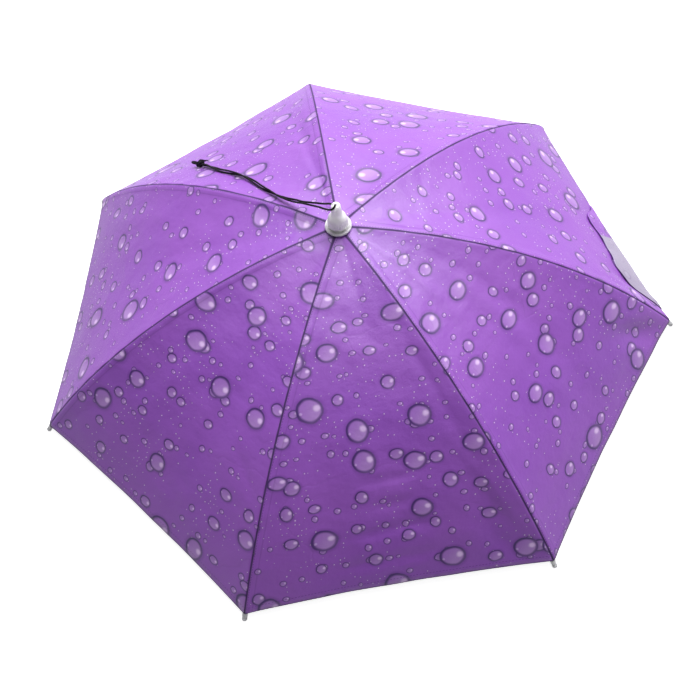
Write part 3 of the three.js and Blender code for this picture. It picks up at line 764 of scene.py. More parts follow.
# gore, across, down, half width, half length, lean, share of the fold depth
DENTS = [
    (1, 0.30, 0.55, 0.10, 0.50, 0.10, 0.25), (1, 0.72, 0.80, 0.12, 0.25, -0.10, -0.20),
    (2, 0.62, 0.45, 0.14, 0.50, 0.06, 0.22), (2, 0.88, 0.90, 0.09, 0.18, 0.05, 0.60),
    (3, 0.35, 0.55, 0.10, 0.45, 0.16, 0.25), (3, 0.60, 0.30, 0.10, 0.30, 0.08, -0.15),
    (3, 0.12, 0.92, 0.10, 0.14, -0.10, 0.65), (4, 0.42, 0.22, 0.16, 0.24, 0.00, 0.18),
    (4, 0.75, 0.70, 0.16, 0.35, -0.12, 0.35), (4, 0.14, 0.85, 0.10, 0.22, -0.06, 0.50),
    (5, 0.32, 0.50, 0.12, 0.50, 0.10, 0.25), (5, 0.66, 0.62, 0.14, 0.40, 0.14, -0.25),
    (6, 0.45, 0.45, 0.16, 0.50, 0.05, 0.22), (6, 0.80, 0.72, 0.10, 0.28, 0.05, -0.20),
    (7, 0.84, 0.50, 0.08, 0.50, 0.02, 0.25),
]

# gore, from across and down, to across and down, depth in mm, half width in mm
CREASES = [
    (1, 0.30, 0.20, 0.40, 0.88, 0.25, 6.0), (2, 0.55, 0.15, 0.60, 0.70, 0.25, 6.0),
    (3, 0.53, 0.42, 0.50, 0.53, 0.45, 3.5), (3, 0.50, 0.53, 0.52, 0.60, 0.5, 3.5),
    (3, 0.52, 0.60, 0.51, 0.72, 0.35, 3.5), (3, 0.45, 0.30, 0.62, 0.85, 0.3, 6.0),
    (3, 0.02, 0.55, 0.05, 0.74, 0.7, 4.5), (3, 0.17, 0.84, 0.03, 0.99, 1.1, 4.5),
    (2, 0.94, 0.74, 0.975, 0.96, 1.2, 4.5), (2, 0.92, 0.38, 0.93, 0.62, 0.5, 5.0),
    (4, 0.13, 0.30, 0.09, 0.76, 0.8, 6.0), (4, 0.70, 0.12, 0.88, 0.45, 0.3, 6.0),
    (4, 0.24, 0.27, 0.05, 0.31, 0.7, 4.0),
    (4, 0.17, 0.66, 0.03, 0.98, 1.2, 5.0), (4, 0.30, 0.78, 0.06, 0.99, 0.6, 5.0),
    (4, 0.36, 0.70, 0.62, 0.705, 1.2, 4.5), (4, 0.34, 0.765, 0.58, 0.775, 1.0, 4.5),
    (4, 0.30, 0.83, 0.66, 0.85, 1.4, 5.0), (4, 0.28, 0.92, 0.75, 0.93, 1.0, 5.0),
    (5, 0.46, 0.52, 0.12, 0.53, 0.6, 4.5), (5, 0.20, 0.64, 0.03, 0.72, 0.7, 4.5),
    (5, 0.55, 0.30, 0.72, 0.85, 0.3, 6.0), (5, 0.88, 0.80, 0.97, 0.98, 0.8, 4.5),
    (6, 0.56, 0.76, 0.57, 0.52, 0.35, 6.0), (6, 0.80, 0.70, 0.96, 0.97, 0.5, 5.0),
    (7, 0.35, 0.25, 0.45, 0.85, 0.25, 6.0), (7, 0.90, 0.72, 0.97, 0.97, 0.6, 5.0),
]

# the turned-up hem: where it lies across its gore, and how far it reaches in, in mm
TURNED_GORE = 2
TURNED_FROM, TURNED_TO, SILVER_FROM = 0.43, 0.95, 0.635
TURNED_SHARES = (0.43, 0.47, 0.51, 0.55, 0.62, 0.70, 0.80, 0.88, 0.95)
TURNED_WIDTHS = (0, 10, 30, 35, 31, 35, 46, 36, 0)
PULLED_IN, PLEAT_HEM_FROM = 2.6 * MM, 0.51
PUCKER_ZONE, PUCKER_DEPTH, PUCKER_REACH = 30 * MM, 0.42 * MM, 9 * MM
PUCKER_WAVE, PUCKER_DRIFT, PUCKER_SWELL = 5.2 * MM, 31 * MM, 47 * MM
GROOVE_DEPTH, GROOVE_WIDTH = 0.40 * MM, 1.2 * MM
ALLOWANCE_RISE, ALLOWANCE_MIDDLE, ALLOWANCE_HALF = 0.45 * MM, 4.0 * MM, 4.4 * MM
HEM_RISEN, HEM_MIDDLE, HEM_HALF = 0.12 * MM, 3.5 * MM, 3.6 * MM
# size and depth of the slow and of the quick unevenness
UNEVEN = ((45 * MM, 0.80 * MM), (17 * MM, 0.34 * MM))
print("dents:", len(DENTS), "creases:", len(CREASES))

# %% Place of a point of the cloth
def rib_turn(number):
    return math.pi / 2 - (number - 1) * GORE_ANGLE


def slope_at(radius, depth=0.0):
    return math.asin((radius - DOME_CENTRE_R) / (DOME_RADIUS - depth))


def dome_point(slope, depth=0.0):
    return (DOME_CENTRE_R + (DOME_RADIUS - depth) * math.sin(slope),
            DOME_CENTRE_Z + (DOME_RADIUS - depth) * math.cos(slope))


def rounded(share):
    return 0.5 + 0.5 * math.cos(math.pi * share) if abs(share) < 1 else 0.0


def gore_width(down):
    return 2 * math.sin(GORE_ANGLE / 2) * dome_point(APEX_SLOPE + (TIP_SLOPE - APEX_SLOPE) * down)[0]


def turned_hem_width(across):
    """How far the turned-up hem reaches in from the hem line."""
    return float(np.interp(across, TURNED_SHARES, TURNED_WIDTHS)) * MM


def crease_sink(gore, across, down):
    """A worn fold: a narrow groove along a line, shallower towards its ends."""
    sink = 0.0
    width = gore_width(down)
    for number, a0, d0, a1, d1, depth, wide in CREASES:
        if number != gore:
            continue
        line = np.array(((a1 - a0) * width, (d1 - d0) * RIB_LENGTH))
        here = np.array(((across - a0) * width, (down - d0) * RIB_LENGTH))
        length = float(np.dot(line, line))
        share = min(1.0, max(0.0, float(np.dot(here, line)) / length))
        aside = float(np.linalg.norm(here - share * line)) / (wide * MM)
        if aside < 2.5:
            ends = min(1.0, 4 * share + 0.1, 4 * (1 - share) + 0.1)
            sink += depth * MM * ends * math.exp(-aside * aside * 1.4)
    return sink


def seam_sink(gore, across, down):
    """Puckers beside the seams, the seam's own groove and its flattened allowance."""
    width = gore_width(down)
    sink = 0.0
    for side, away in ((0, across * width), (1, (1 - across) * width)):
        if away > PUCKER_ZONE:
            continue
        run = down * RIB_LENGTH
        seed = gore * 1.7 + side * 2.9
        wave = math.sin(run / PUCKER_WAVE + 2.2 * math.sin(run / PUCKER_DRIFT + seed) + seed)
        fade = min(1, away / (2 * MM)) * math.exp(-away / PUCKER_REACH)
        swell = 0.6 + 0.4 * math.sin(run / PUCKER_SWELL + 2 * seed)
        sink += PUCKER_DEPTH * wave * fade * swell
        sink += GROOVE_DEPTH * math.exp(-((away / GROOVE_WIDTH) ** 2))
        if side == 1:
            sink -= ALLOWANCE_RISE * rounded((away - ALLOWANCE_MIDDLE) / ALLOWANCE_HALF)
    return sink


def hem_sink(down):
    """The rolled hem's low ridge."""
    away = max(0.0, (1 - down) * RIB_LENGTH)
    return -HEM_RISEN * rounded((away - HEM_MIDDLE) / HEM_HALF)


def cloth_sink(gore, across, down):
    """How far the cloth lies under the straight line between its two ribs."""
    span = 4 * across * (1 - across)
    swell = math.sin(math.pi * min(down, 1) ** 0.85) * 0.65 + 0.35 * down
    sink = GORE_HOLLOW * span * swell
    edge = min(1, span * 2.5)
    if gore == TURNED_GORE:
        start = min(1.0, max(0.0, (across - TURNED_FROM) / 0.07))
        stop = min(1.0, max(0.0, (TURNED_TO - across) / 0.10))
        sink += PULLED_IN * start * stop * min(1.0, max(0.0, (down - 0.80) / 0.16))
    for number, a, d, wide, long, lean, depth in DENTS:
        if number == gore:
            along = (down - d) / long
            aside = (across - a - lean * along) / wide
            sink += FOLD_DEPTH * depth * rounded(along) * rounded(aside) * edge
    spot = Vector((across * gore_width(down) + 0.7 * gore, down * RIB_LENGTH, 0))
    sink += span * sum(depth * noise.noise(spot / size) for size, depth in UNEVEN)
    fine = crease_sink(gore, across, down) * edge + hem_sink(down) * min(1, 4 * span)
    fine += seam_sink(gore, across, down)
    return sink + fine * min(1, down * 6)


def cloth_frame(gore, down, across=0.5):
    """The slope at this share of the way down, and the direction out of the flat gore."""
    hem_cut = HEM_RISE / RIB_LENGTH * 4 * across * (1 - across)
    first = slope_at(COLLAR_RADIUS)
    slope = first + (TIP_SLOPE - first) * down * (1 - hem_cut)
    steep = math.tan(slope) / math.cos(GORE_ANGLE / 2)
    middle = (rib_turn(gore) + rib_turn(gore + 1)) / 2
    return slope, Vector((math.cos(middle) * steep, math.sin(middle) * steep, 1)).normalized()


def cloth_point(gore, across, down, lift=0.0):
    slope, outward = cloth_frame(gore, down, across)
    radius, height = dome_point(slope)
    ends = []
    for number in (gore, gore + 1):
        turn = rib_turn(number)
        ends.append(Vector((radius * math.cos(turn), radius * math.sin(turn), height)))
    place = ends[0].lerp(ends[1], across)
    return place - outward * (cloth_sink(gore, across, down) - lift)


# %% [markdown]
# Each gore starts as a flat grid, whose columns are closest together at its two seams, and
# every vertex is then put in its place on the dome. Two maps are written at the same time,
# because sizes on the flat gore are still known here: the cloth map for the print and the
# threads, and the edge map for stitches. Where the hem is turned up, the hem's edges are
# extruded eight times, round a tight fold and back over the outside.

# %% Gores
COLUMNS, ROWS, FLAP_ROWS = 44, 84, 8
FLAP_BULGE, FLAP_LEAST, FLAP_RIPPLE = 1.9 * MM, 0.9 * MM, 0.5 * MM
GORE_SHIFT, PLEAT_HEM_SHIFT = (0.37, 0.11), 4 * MM


def flap_point(gore, across, share):
    """A point of the turned-up strip, from the fold at the hem to its free edge."""
    width = turned_hem_width(across)
    down = 1 - width * share / RIB_LENGTH
    bulge = FLAP_BULGE * math.sin(math.pi * min(1, share * 1.15) ** 0.6) + FLAP_LEAST
    ripple = FLAP_RIPPLE * math.sin(across * 61) * share
    lift = (bulge + ripple) * min(1, width / (16 * MM))
    if share < 0.2:
        down += FLAP_LEAST / RIB_LENGTH * math.sin(math.pi * share / 0.2) * min(1, width / (6 * MM))
    return cloth_point(gore, across, down, lift=max(lift, 0.1 * MM))


def flap_rows(piece, places):
    """Extrudes the hem's edges into the turned-up strip and gives every new vertex its place."""
    def key(vertex):
        return tuple(round(value, 7) for value in vertex.co)

    chosen = {index: across for index, (across, down, share) in places.items()
              if down > 0.9999 and TURNED_FROM <= across <= TURNED_TO}
    for row in range(1, FLAP_ROWS + 1):
        before = len(piece.data.vertices)
        near = {key(piece.data.vertices[index]): across for index, across in chosen.items()}
        edit_some(piece, "EDGE", lambda edge: all(number in chosen for number in edge.vertices))
        bpy.ops.mesh.extrude_edges_move()
        object_mode()
        chosen = {vertex.index: near[key(vertex)] for vertex in piece.data.vertices[before:]}
        for index, across in chosen.items():
            places[index] = (across, 1.0, row / FLAP_ROWS)
            piece.data.vertices[index].co = flap_point(TURNED_GORE, across, row / FLAP_ROWS)


def write_maps(piece, gore, places):
    cloth_map = piece.data.uv_layers.new(name="cloth")
    edge_map = piece.data.uv_layers.new(name="edge")
    for polygon in piece.data.polygons:
        numbers = [piece.data.loops[loop].vertex_index for loop in polygon.loop_indices]
        first_half = sum(places[number][0] for number in numbers) / len(numbers) < 0.5
        for loop, number in zip(polygon.loop_indices, numbers):
            across, down, share = places[number]
            flap = turned_hem_width(across) if gore == TURNED_GORE else 0.0
            width = gore_width(down)
            run = down * RIB_LENGTH + flap * share
            cloth_map.data[loop].uv = (GORE_SHIFT[0] * gore - (across - 0.5) * width,
                                       GORE_SHIFT[1] * gore - run)
            seam = across * width if first_half else -(1 - across) * width
            from_hem = (1 - down) * RIB_LENGTH + flap * (1 - share)
            if share > 0 and across < PLEAT_HEM_FROM:
                from_hem += PLEAT_HEM_SHIFT
            edge_map.data[loop].uv = (seam, from_hem)


def make_gore(gore):
    piece = add_grid(COLUMNS, ROWS)
    places = {}
    for vertex in piece.data.vertices:
        even, down = (min(1.0, max(0.0, value + 0.5)) for value in vertex.co.xy)
        across = 0.45 * even + 0.55 * (0.5 - 0.5 * math.cos(math.pi * even))
        places[vertex.index] = (across, down, 0.0)
        vertex.co = cloth_point(gore, across, down)
    if gore == TURNED_GORE:
        flap_rows(piece, places)
    write_maps(piece, gore, places)
    return piece


gores = [make_gore(gore) for gore in range(1, RIB_COUNT + 1)]
print("gores:", len(gores), "with", sum(len(gore.data.polygons) for gore in gores), "faces")

# %% [markdown]
# The gores are joined and their seam vertices merged, which makes them one sheet. Solidify
# gives the cloth its thickness on the inside, and the second material of the sheet, the
# silver coat, to the inner face. The pleat beside the turned-up hem shows the printed side
# again, so its faces take the third slot, whose inner face is printed too.

# %% Canopy
CLOTH_THICKNESS, SEAM_WELD = 0.5 * MM, 0.02 * MM

canopy = join(*gores)
canopy.data.materials.clear()
for material in (canopy_print, silver_coat, canopy_print):
    canopy.data.materials.append(material)
make_outward(canopy, SEAM_WELD)
up = sum(polygon.normal.z > 0 for polygon in canopy.data.polygons)
if up < len(canopy.data.polygons) / 2:
    edit_all(canopy)
    bpy.ops.mesh.flip_normals()
    object_mode()
silver_turn = rib_turn(TURNED_GORE) - SILVER_FROM * GORE_ANGLE
pleat = [polygon for polygon in canopy.data.polygons if polygon.normal.z < 0
         and silver_turn < math.atan2(polygon.center.y, polygon.center.x) < rib_turn(TURNED_GORE)]
for polygon in pleat:
    polygon.material_index = 2
print("pleat faces that show the print on both sides:", len(pleat))
apply_modifier(canopy, "SOLIDIFY", thickness=CLOTH_THICKNESS, offset=-1.0,
               material_offset=1, material_offset_rim=0)
canopy.data.polygons.foreach_set("use_smooth", [True] * len(canopy.data.polygons))
finish_piece(canopy, "canopy", None, [f"canopy_panel_{number}" for number in range(1, RIB_COUNT + 1)])

# %% [markdown]
# The plastics share one kind of surface: a faint grain from the mould, a slight unevenness of
# the gloss, and a little dust that settles where faces point upwards. Grain and dust are node
# groups with named values, so that each material sets its own amounts.

# %% Grain and dust as node groups
CLOUD_SCALE, DUST_SCALE, DUST_COLOUR = 60.0, 400.0, (0.55, 0.53, 0.52, 1)


def build_grain():
    g, given, result = new_group("moulded_grain", {
        "Place": "Vector", "Size": "Float", "Depth": "Float", "Dull": "Float", "Glossy": "Float",
    }, {"Height": "Float", "Roughness": "Float", "Cloud": "Float"})
    fine = g.noise(given["Place"], g.calc("DIVIDE", 1.0, given["Size"]), 3.0)
    cloud = g.step(g.noise(given["Place"], CLOUD_SCALE, 2.0), 0.35, 0.65)
    spread = g.calc("SUBTRACT", given["Dull"], given["Glossy"])
    g.feed(result["Height"], g.times(fine, given["Depth"]))
    g.feed(result["Roughness"], g.calc("MULTIPLY_ADD", cloud, spread, given["Glossy"]))
    g.feed(result["Cloud"], cloud)
    return g.tree


def build_dust():
    g, given, result = new_group(
        "settled_dust", {"Place": "Vector", "Color": "Color", "Amount": "Float"}, {"Color": "Color"})
    upward = g.axes(g.add("ShaderNodeNewGeometry").outputs["Normal"])[2]
    specks = g.step(g.noise(given["Place"], DUST_SCALE, 4.0), 0.42, 0.68)
    amount = g.times(g.times(g.step(upward, 0.2, 0.9), specks), given["Amount"])
    g.feed(result["Color"], g.mix(amount, given["Color"], DUST_COLOUR))
    return g.tree


GRAIN, DUST = build_grain(), build_dust()


def dusted(nodes, place, colour, amount):
    return nodes.add("ShaderNodeGroup", {"Place": place, "Color": colour, "Amount": amount},
                     node_tree=DUST).outputs["Color"]


def plastic(name, colour, shade, dust, dull=0.42, glossy=0.28, **constants):
    """A moulded plastic in two close tones, with grain, varying gloss and dust."""
    material, n, shader = new_material(name, **constants)
    place = n.add("ShaderNodeTexCoord").outputs["Object"]
    grain = n.add("ShaderNodeGroup", {
        "Place": place, "Size": 0.4 * MM, "Depth": 0.03 * MM, "Dull": dull, "Glossy": glossy,
    }, node_tree=GRAIN).outputs
    tone = n.mix(grain["Cloud"], colour, shade)
    surface(n, shader, dusted(n, place, tone, dust), grain["Height"], roughness=grain["Roughness"])
    return material


ferrule_plastic = plastic(
    "ferrule_plastic", (0.96, 0.96, 0.945, 1), (0.92, 0.92, 0.91, 1), 0.02, Coat_Weight=0.15,
    Subsurface_Weight=0.85, Subsurface_Scale=0.012, Subsurface_Radius=(1.0, 1.0, 1.0))
tip_plastic = plastic("tip_plastic", (0.72, 0.72, 0.74, 1), (0.58, 0.58, 0.61, 1), 0.12)
hub_plastic = plastic("hub_plastic", (0.030, 0.030, 0.033, 1), (0.045, 0.044, 0.048, 1), 0.2, dull=0.55)
print("plastics:", ferrule_plastic.name, tip_plastic.name, hub_plastic.name)

# %% [markdown]
# The ribs, the stretchers and the shaft are plated steel. Plating is bright and nearly even.
# Fine marks along the metal from drawing it and a few darker worn spots keep it from looking
# like a mirror.

# %% Plated steel
STEEL_DARK, STEEL_LIGHT, STEEL_WORN = (0.55, 0.55, 0.57, 1), (0.72, 0.72, 0.74, 1), (0.22, 0.20, 0.19, 1)


def build_steel():
    material, n, shader = new_material("frame_steel", Metallic=1.0, Roughness=0.3)
    place = n.add("ShaderNodeTexCoord").outputs["Object"]
    marks = n.noise(place, 900.0, 3.0)
    worn = n.step(n.noise(place, 130.0, 5.0), 0.58, 0.72)
    tone = n.mix(worn, n.mix(marks, STEEL_DARK, STEEL_LIGHT), STEEL_WORN)
    surface(n, shader, dusted(n, place, tone, 0.12), marks, 0.25, 0.05 * MM,
            n.step(worn, 0.0, 1.0, 0.27, 0.55))
    return material


frame_steel = build_steel()
print("metal:", frame_steel.name)

# %% [markdown]
# The ferrule is one turned plastic piece: a thin flange on the cloth, a fluted skirt and a
# slim stem that narrows to a blunt top. It is made as on a lathe, from one circle that is
# extruded upwards and resized at each section. The skirt's flutes come from every other
# vertex being drawn in a little. A thin rod cut out of it leaves the cord's slanting hole.

# %% Turning a profile
def in_mm(rows, base=0.0):
    """Sections written in millimetres above a base, as metres."""
    return [(radius * MM, base + height * MM) for radius, height in rows]


def turn_profile(sections, sides, capped=True):
    """A round solid from (radius, height) rows, made by extruding and resizing a circle."""
    radius, height = sections[0]
    piece = add_shape(bpy.ops.mesh.primitive_circle_add, vertices=sides, radius=radius,
                      location=(0, 0, height), fill_type="NGON" if capped else "NOTHING")
    edit_all(piece, "EDGE")
    if capped:
        bpy.ops.mesh.region_to_loop()
    for (last_radius, last_height), (radius, height) in zip(sections, sections[1:]):
        extrude_edges(height - last_height)
        share = radius / last_radius
        bpy.ops.transform.resize(value=(share, share, 1), center_override=(0, 0, height))
    if capped:
        bpy.ops.mesh.edge_face_add()
    object_mode()
    make_outward(piece)
    return piece


def cut_away(piece, cutter):
    apply_modifier(piece, "BOOLEAN", operation="DIFFERENCE", solver="EXACT", object=cutter)
    pick(cutter)
    bpy.ops.object.delete()


# %% Ferrule
FLANGE_RADIUS, FERRULE_HEIGHT, FERRULE_SIDES = 12.2 * MM, 31.5 * MM, 96
FLUTES, FLUTE_DEPTH, FLUTE_MIDDLE, FLUTE_HALF = 24, 0.10, 0.30, 0.16
# shares of the flange's radius and of the ferrule's height
FERRULE_SECTIONS = [
    (0.97, 0.000), (1.000, 0.010), (1.00, 0.050), (0.985, 0.068), (0.955, 0.078), (0.92, 0.074),
    (0.86, 0.058), (0.78, 0.046), (0.72, 0.044), (0.66, 0.052), (0.63, 0.070), (0.625, 0.095),
    (0.67, 0.118), (0.72, 0.130), (0.76, 0.155), (0.775, 0.200), (0.77, 0.260), (0.745, 0.330),
    (0.715, 0.395), (0.665, 0.450), (0.59, 0.505), (0.50, 0.555), (0.435, 0.605), (0.405, 0.670),
    (0.385, 0.770), (0.37, 0.870), (0.36, 0.930), (0.34, 0.965), (0.29, 0.988), (0.19, 0.998),
    (0.08, 1.000),
]
HOLE_TURN, HOLE_TILT = math.radians(135), math.radians(42)
HOLE_INSET, HOLE_RADIUS, DRILL_LENGTH = 2.1 * MM, 1.5 * MM, 24 * MM

ferrule = turn_profile(
    [(r * FLANGE_RADIUS, FERRULE_BASE_Z + h * FERRULE_HEIGHT) for r, h in FERRULE_SECTIONS],
    FERRULE_SIDES)
for vertex in ferrule.data.vertices:
    share = (vertex.co.z - FERRULE_BASE_Z) / FERRULE_HEIGHT
    turn = math.atan2(vertex.co.y, vertex.co.x)
    flute = FLUTE_DEPTH * (0.5 + 0.5 * math.cos(FLUTES * turn))
    depth = rounded((share - FLUTE_MIDDLE) / FLUTE_HALF) * flute
    vertex.co.x *= 1 - depth
    vertex.co.y *= 1 - depth
make_outward(ferrule)
drill = add_shape(bpy.ops.mesh.primitive_cylinder_add, vertices=32, radius=HOLE_RADIUS, depth=DRILL_LENGTH)
around = Vector((math.cos(HOLE_TURN), math.sin(HOLE_TURN), 0))
top_z = FERRULE_BASE_Z + FERRULE_HEIGHT
drill.location = around * HOLE_INSET + Vector((0, 0, top_z - HOLE_INSET))
lean_axis = around * math.cos(HOLE_TILT) - Vector((0, 0, math.sin(HOLE_TILT)))
drill.rotation_mode = "QUATERNION"
drill.rotation_quaternion = lean_axis.to_track_quat("Z", "Y")
cut_away(ferrule, settle(drill))
smooth(ferrule, 40)
finish_piece(ferrule, "ferrule_turned", ferrule_plastic, ["ferrule"])

# %% [markdown]
# Rib tips are small caps over the ends of the ribs, each with a neck into which the corner of
# the cloth is sewn. One tip is turned, hollowed for the rib by pushing its end face in, wound
# with a few turns of sewing thread, laid along the end of rib 1, and copied to the other six.

# %% Rib tips
TIP_SECTIONS = [
    (1.95, 0.3), (2.45, 0.35), (2.5, 0.7), (2.5, 3.6), (2.35, 4.4), (2.08, 5.0), (2.05, 5.6),
    (2.2, 6.0), (2.45, 6.4), (2.5, 6.9), (2.4, 7.6), (2.05, 8.3), (1.45, 8.75), (0.7, 8.97), (0.2, 9.0),
]
TIP_SIDES, TIP_MOUTH, TIP_SOCKET, TIP_BELOW_SEAM = 28, 0.31 * MM, 4.9 * MM, 3.134 * MM
THREAD_TURNS, THREAD_START, THREAD_RISE = 4, 5.0, 0.27
THREAD_RING, THREAD_RADIUS = 2.15 * MM, 0.16 * MM

tip = turn_profile(in_mm(TIP_SECTIONS), TIP_SIDES)
edit_some(tip, "FACE", lambda face: face.center.z < TIP_MOUTH)
extrude_faces(TIP_SOCKET)
object_mode()
threads = [
    add_shape(bpy.ops.mesh.primitive_torus_add, major_radius=THREAD_RING, minor_radius=THREAD_RADIUS,
              major_segments=TIP_SIDES, minor_segments=6, rotation=(0.06 * (-1) ** turn, 0.05, 0),
              location=(0, 0, (THREAD_START + THREAD_RISE * turn) * MM))
    for turn in range(THREAD_TURNS)
]
tip = join(tip, *threads)
tip.rotation_euler = (-(math.pi / 2 + TIP_SLOPE), 0, 0)
tip.location = (0, *dome_point(TIP_SLOPE, TIP_BELOW_SEAM))
smooth(settle(tip), 50)
finish_at_each_rib(tip, "rib_tip_cap", tip_plastic, "rib_tip")

# %% [markdown]
# A rib is a thin steel channel, open at its underside. Its U-shaped section is cut out of a
# small grid, and spinning it about the middle of the dome's arc draws the curved bar in one
# move. The number of steps is high, because the solid's own bar is only coarsely curved.

# %% Ribs
RIB_WIDTH, RIB_DEPTH, RIB_DROP, CHANNEL_WALL = 2.6 * MM, 2.0 * MM, 2.134 * MM, 0.5 * MM
RIB_GRIP, NOTCH_RADIUS, FIT_GAP = 5 * MM, 8 * MM, 0.3 * MM
RIB_SPIN_STEPS = 64

first_slope = slope_at(NOTCH_RADIUS + FIT_GAP, RIB_DROP + RIB_DEPTH / 2)
last_slope = TIP_SLOPE + RIB_GRIP / DOME_RADIUS
rib = add_grid(3, 2)
columns = [-RIB_WIDTH / 2, -RIB_WIDTH / 2 + CHANNEL_WALL, RIB_WIDTH / 2 - CHANNEL_WALL, RIB_WIDTH / 2]
depths = [RIB_DROP + RIB_DEPTH, RIB_DROP + CHANNEL_WALL, RIB_DROP]
hollow = min(rib.data.polygons, key=lambda face: abs(face.center.x) + face.center.y).index
for vertex in rib.data.vertices:
    column = columns[round((vertex.co.x + 0.5) * 3)]
    vertex.co = (column, *dome_point(first_slope, depths[round((vertex.co.y + 0.5) * 2)]))
edit_some(rib, "FACE", lambda face: face.index == hollow)
bpy.ops.mesh.delete(type="FACE")
bpy.ops.mesh.select_all(action="SELECT")
bpy.ops.mesh.spin(steps=RIB_SPIN_STEPS, angle=last_slope - first_slope, use_normal_flip=False,
                  center=(0, DOME_CENTRE_R, DOME_CENTRE_Z), axis=(1, 0, 0))
object_mode()
make_outward(rib)
bevel(rib, 0.15 * MM)
smooth(rib, 40)
print("rib reaches", round(max(vertex.co.y for vertex in rib.data.vertices), 4), "m out")
finish_at_each_rib(rib, "rib_channel", frame_steel, "rib")

# %% [markdown]
# Seven stretchers run from the runner up to the middle of the ribs. Each one is a bent strip
# of the same steel, hollow underneath, with a rivet at either end. A grid's rows are moved to
# the strip's bends, it is extruded downwards, its underside is inset and pushed up, and its
# edges are bevelled.

# %% Stretchers
STRETCHER_WIDTH, STRETCHER_DEPTH = 2.2 * MM, 2.6 * MM
STRETCHER_WALL, STRETCHER_HOLLOW = 0.45 * MM, 1.9 * MM
STRETCHER_REACH, STRETCHER_FOOT = 120 * MM, 9 * MM
RUNNER_TOP_Z, RUNNER_FLANGE = 28 * MM, 12 * MM
RIVET_RADIUS, RIVET_LENGTH = 0.75 * MM, 2.9 * MM

under_rib = RIB_DROP + RIB_DEPTH + FIT_GAP
hub_radius, hub_top = RUNNER_FLANGE + FIT_GAP, RUNNER_TOP_Z - 1 * MM
toe = dome_point(slope_at(STRETCHER_REACH, under_rib), under_rib)
heel = dome_point(slope_at(STRETCHER_REACH - STRETCHER_FOOT, under_rib), under_rib)
stretcher = add_grid(1, 2)
tops = [(hub_radius, hub_top), heel, toe]
for vertex in stretcher.data.vertices:
    vertex.co = (math.copysign(STRETCHER_WIDTH / 2, vertex.co.x), *tops[round((vertex.co.y + 0.5) * 2)])
edit_all(stretcher, "FACE")
extrude_faces(-STRETCHER_DEPTH)
bpy.ops.mesh.inset(thickness=STRETCHER_WALL)
extrude_faces(STRETCHER_HOLLOW)
object_mode()
make_outward(stretcher)
bevel(stretcher, 0.12 * MM)
rivets = []
for radius, height in ((hub_radius + 3 * MM, hub_top - 1.0 * MM), (heel[0] - 2.5 * MM, heel[1] - 2.2 * MM)):
    rivets.append(add_shape(
        bpy.ops.mesh.primitive_cylinder_add, vertices=20, radius=RIVET_RADIUS, depth=RIVET_LENGTH,
        location=(0, radius, height), rotation=(0, math.pi / 2, 0)))
    bevel(rivets[-1], 0.2 * MM)
stretcher = join(stretcher, *rivets)
smooth(stretcher, 40)
finish_at_each_rib(stretcher, "stretcher_strip", frame_steel, "stretcher")

# %% [markdown]
# On the shaft sit two black hubs: the top notch, in whose slots the ribs are wired, and the
# runner, which carries the stretchers. Both are rings, turned first and then slotted seven
# times by thin blocks. The shaft between them is a plain tube with rounded rims. The rows of
# numbers are sections in millimetres, up the outside and down the inside.

# %% Hubs and shaft
NOTCH_TOP_Z, SHAFT_LOW_Z, RING_SIDES = 62.12 * MM, 3.3 * MM, 72
NOTCH_SECTIONS = [
    (4.3, 0), (7.2, 0), (7.2, 1.5), (8, 2), (8, 5), (7.6, 5.4), (7.6, 6), (8, 6.4), (8, 9), (4.3, 9),
]
RUNNER_SECTIONS = [(4.3, 0), (7.4, 0), (8, 0.8), (8, 6), (8.8, 7), (12, 7), (12, 12), (4.3, 12)]
SHAFT_SECTIONS = [(3, 0), (4, 0), (4, 24), (4, 73.48), (3, 73.48)]


def ring_piece(rows, base, sides=RING_SIDES):
    """A turned ring, whose last section is the first one again."""
    piece = turn_profile(in_mm(rows + rows[:1], base), sides, capped=False)
    bevel(piece, 0.35 * MM)
    return piece


def cut_slots(piece, inner, outer, low, high, width):
    for number in range(1, RIB_COUNT + 1):
        turn, middle = rib_turn(number), (inner + outer) / 2
        cut_away(piece, add_shape(
            bpy.ops.mesh.primitive_cube_add, size=1, rotation=(0, 0, turn),
            location=(middle * math.cos(turn), middle * math.sin(turn), (low + high) / 2),
            scale=(outer - inner, width, high - low)))


notch = ring_piece(NOTCH_SECTIONS, NOTCH_TOP_Z - 9 * MM)
cut_slots(notch, 6.2 * MM, 9 * MM, NOTCH_TOP_Z - 2.4 * MM, NOTCH_TOP_Z + 1 * MM, 1.6 * MM)
runner = ring_piece(RUNNER_SECTIONS, RUNNER_TOP_Z - 12 * MM)
cut_slots(runner, 9.4 * MM, 13 * MM, RUNNER_TOP_Z - 6 * MM, RUNNER_TOP_Z + 1 * MM, 1.5 * MM)
shaft = ring_piece(SHAFT_SECTIONS, SHAFT_LOW_Z, sides=48)
for piece, name, material, node in (
    (notch, "top_notch_hub", hub_plastic, "top_notch"), (runner, "runner_hub", hub_plastic, "runner"),
    (shaft, "shaft_tube", frame_steel, "shaft"),
):
    smooth(piece, 35)
    finish_piece(piece, name, material, [node])

# %% [markdown]
# The crown plate is a flat disc on top of the head, with a boss that holds the shaft. It is
# turned from one circle. Twelve low ribs between the boss and the rim stiffen it, as on most
# moulded discs; they are thin blocks joined to the disc.

# %% Crown plate
PLATE_SECTIONS = [
    (25.2, 0.0), (25.8, 0.3), (26, 0.9), (26, 2.2), (25.7, 2.8), (25.1, 3), (23.4, 3), (23.0, 2.5),
    (10, 2.5), (9.2, 3), (8.3, 3.8), (8.3, 10.6), (7.9, 11), (4.5, 11), (4.3, 10.8), (4.3, 3.0),
]
PLATE_SIDES, STIFFENERS = 96, 12
STIFFENER_PLACE, STIFFENER_SIZE = (16 * MM, 2.6 * MM), (15.5 * MM, 1.0 * MM, 0.7 * MM)

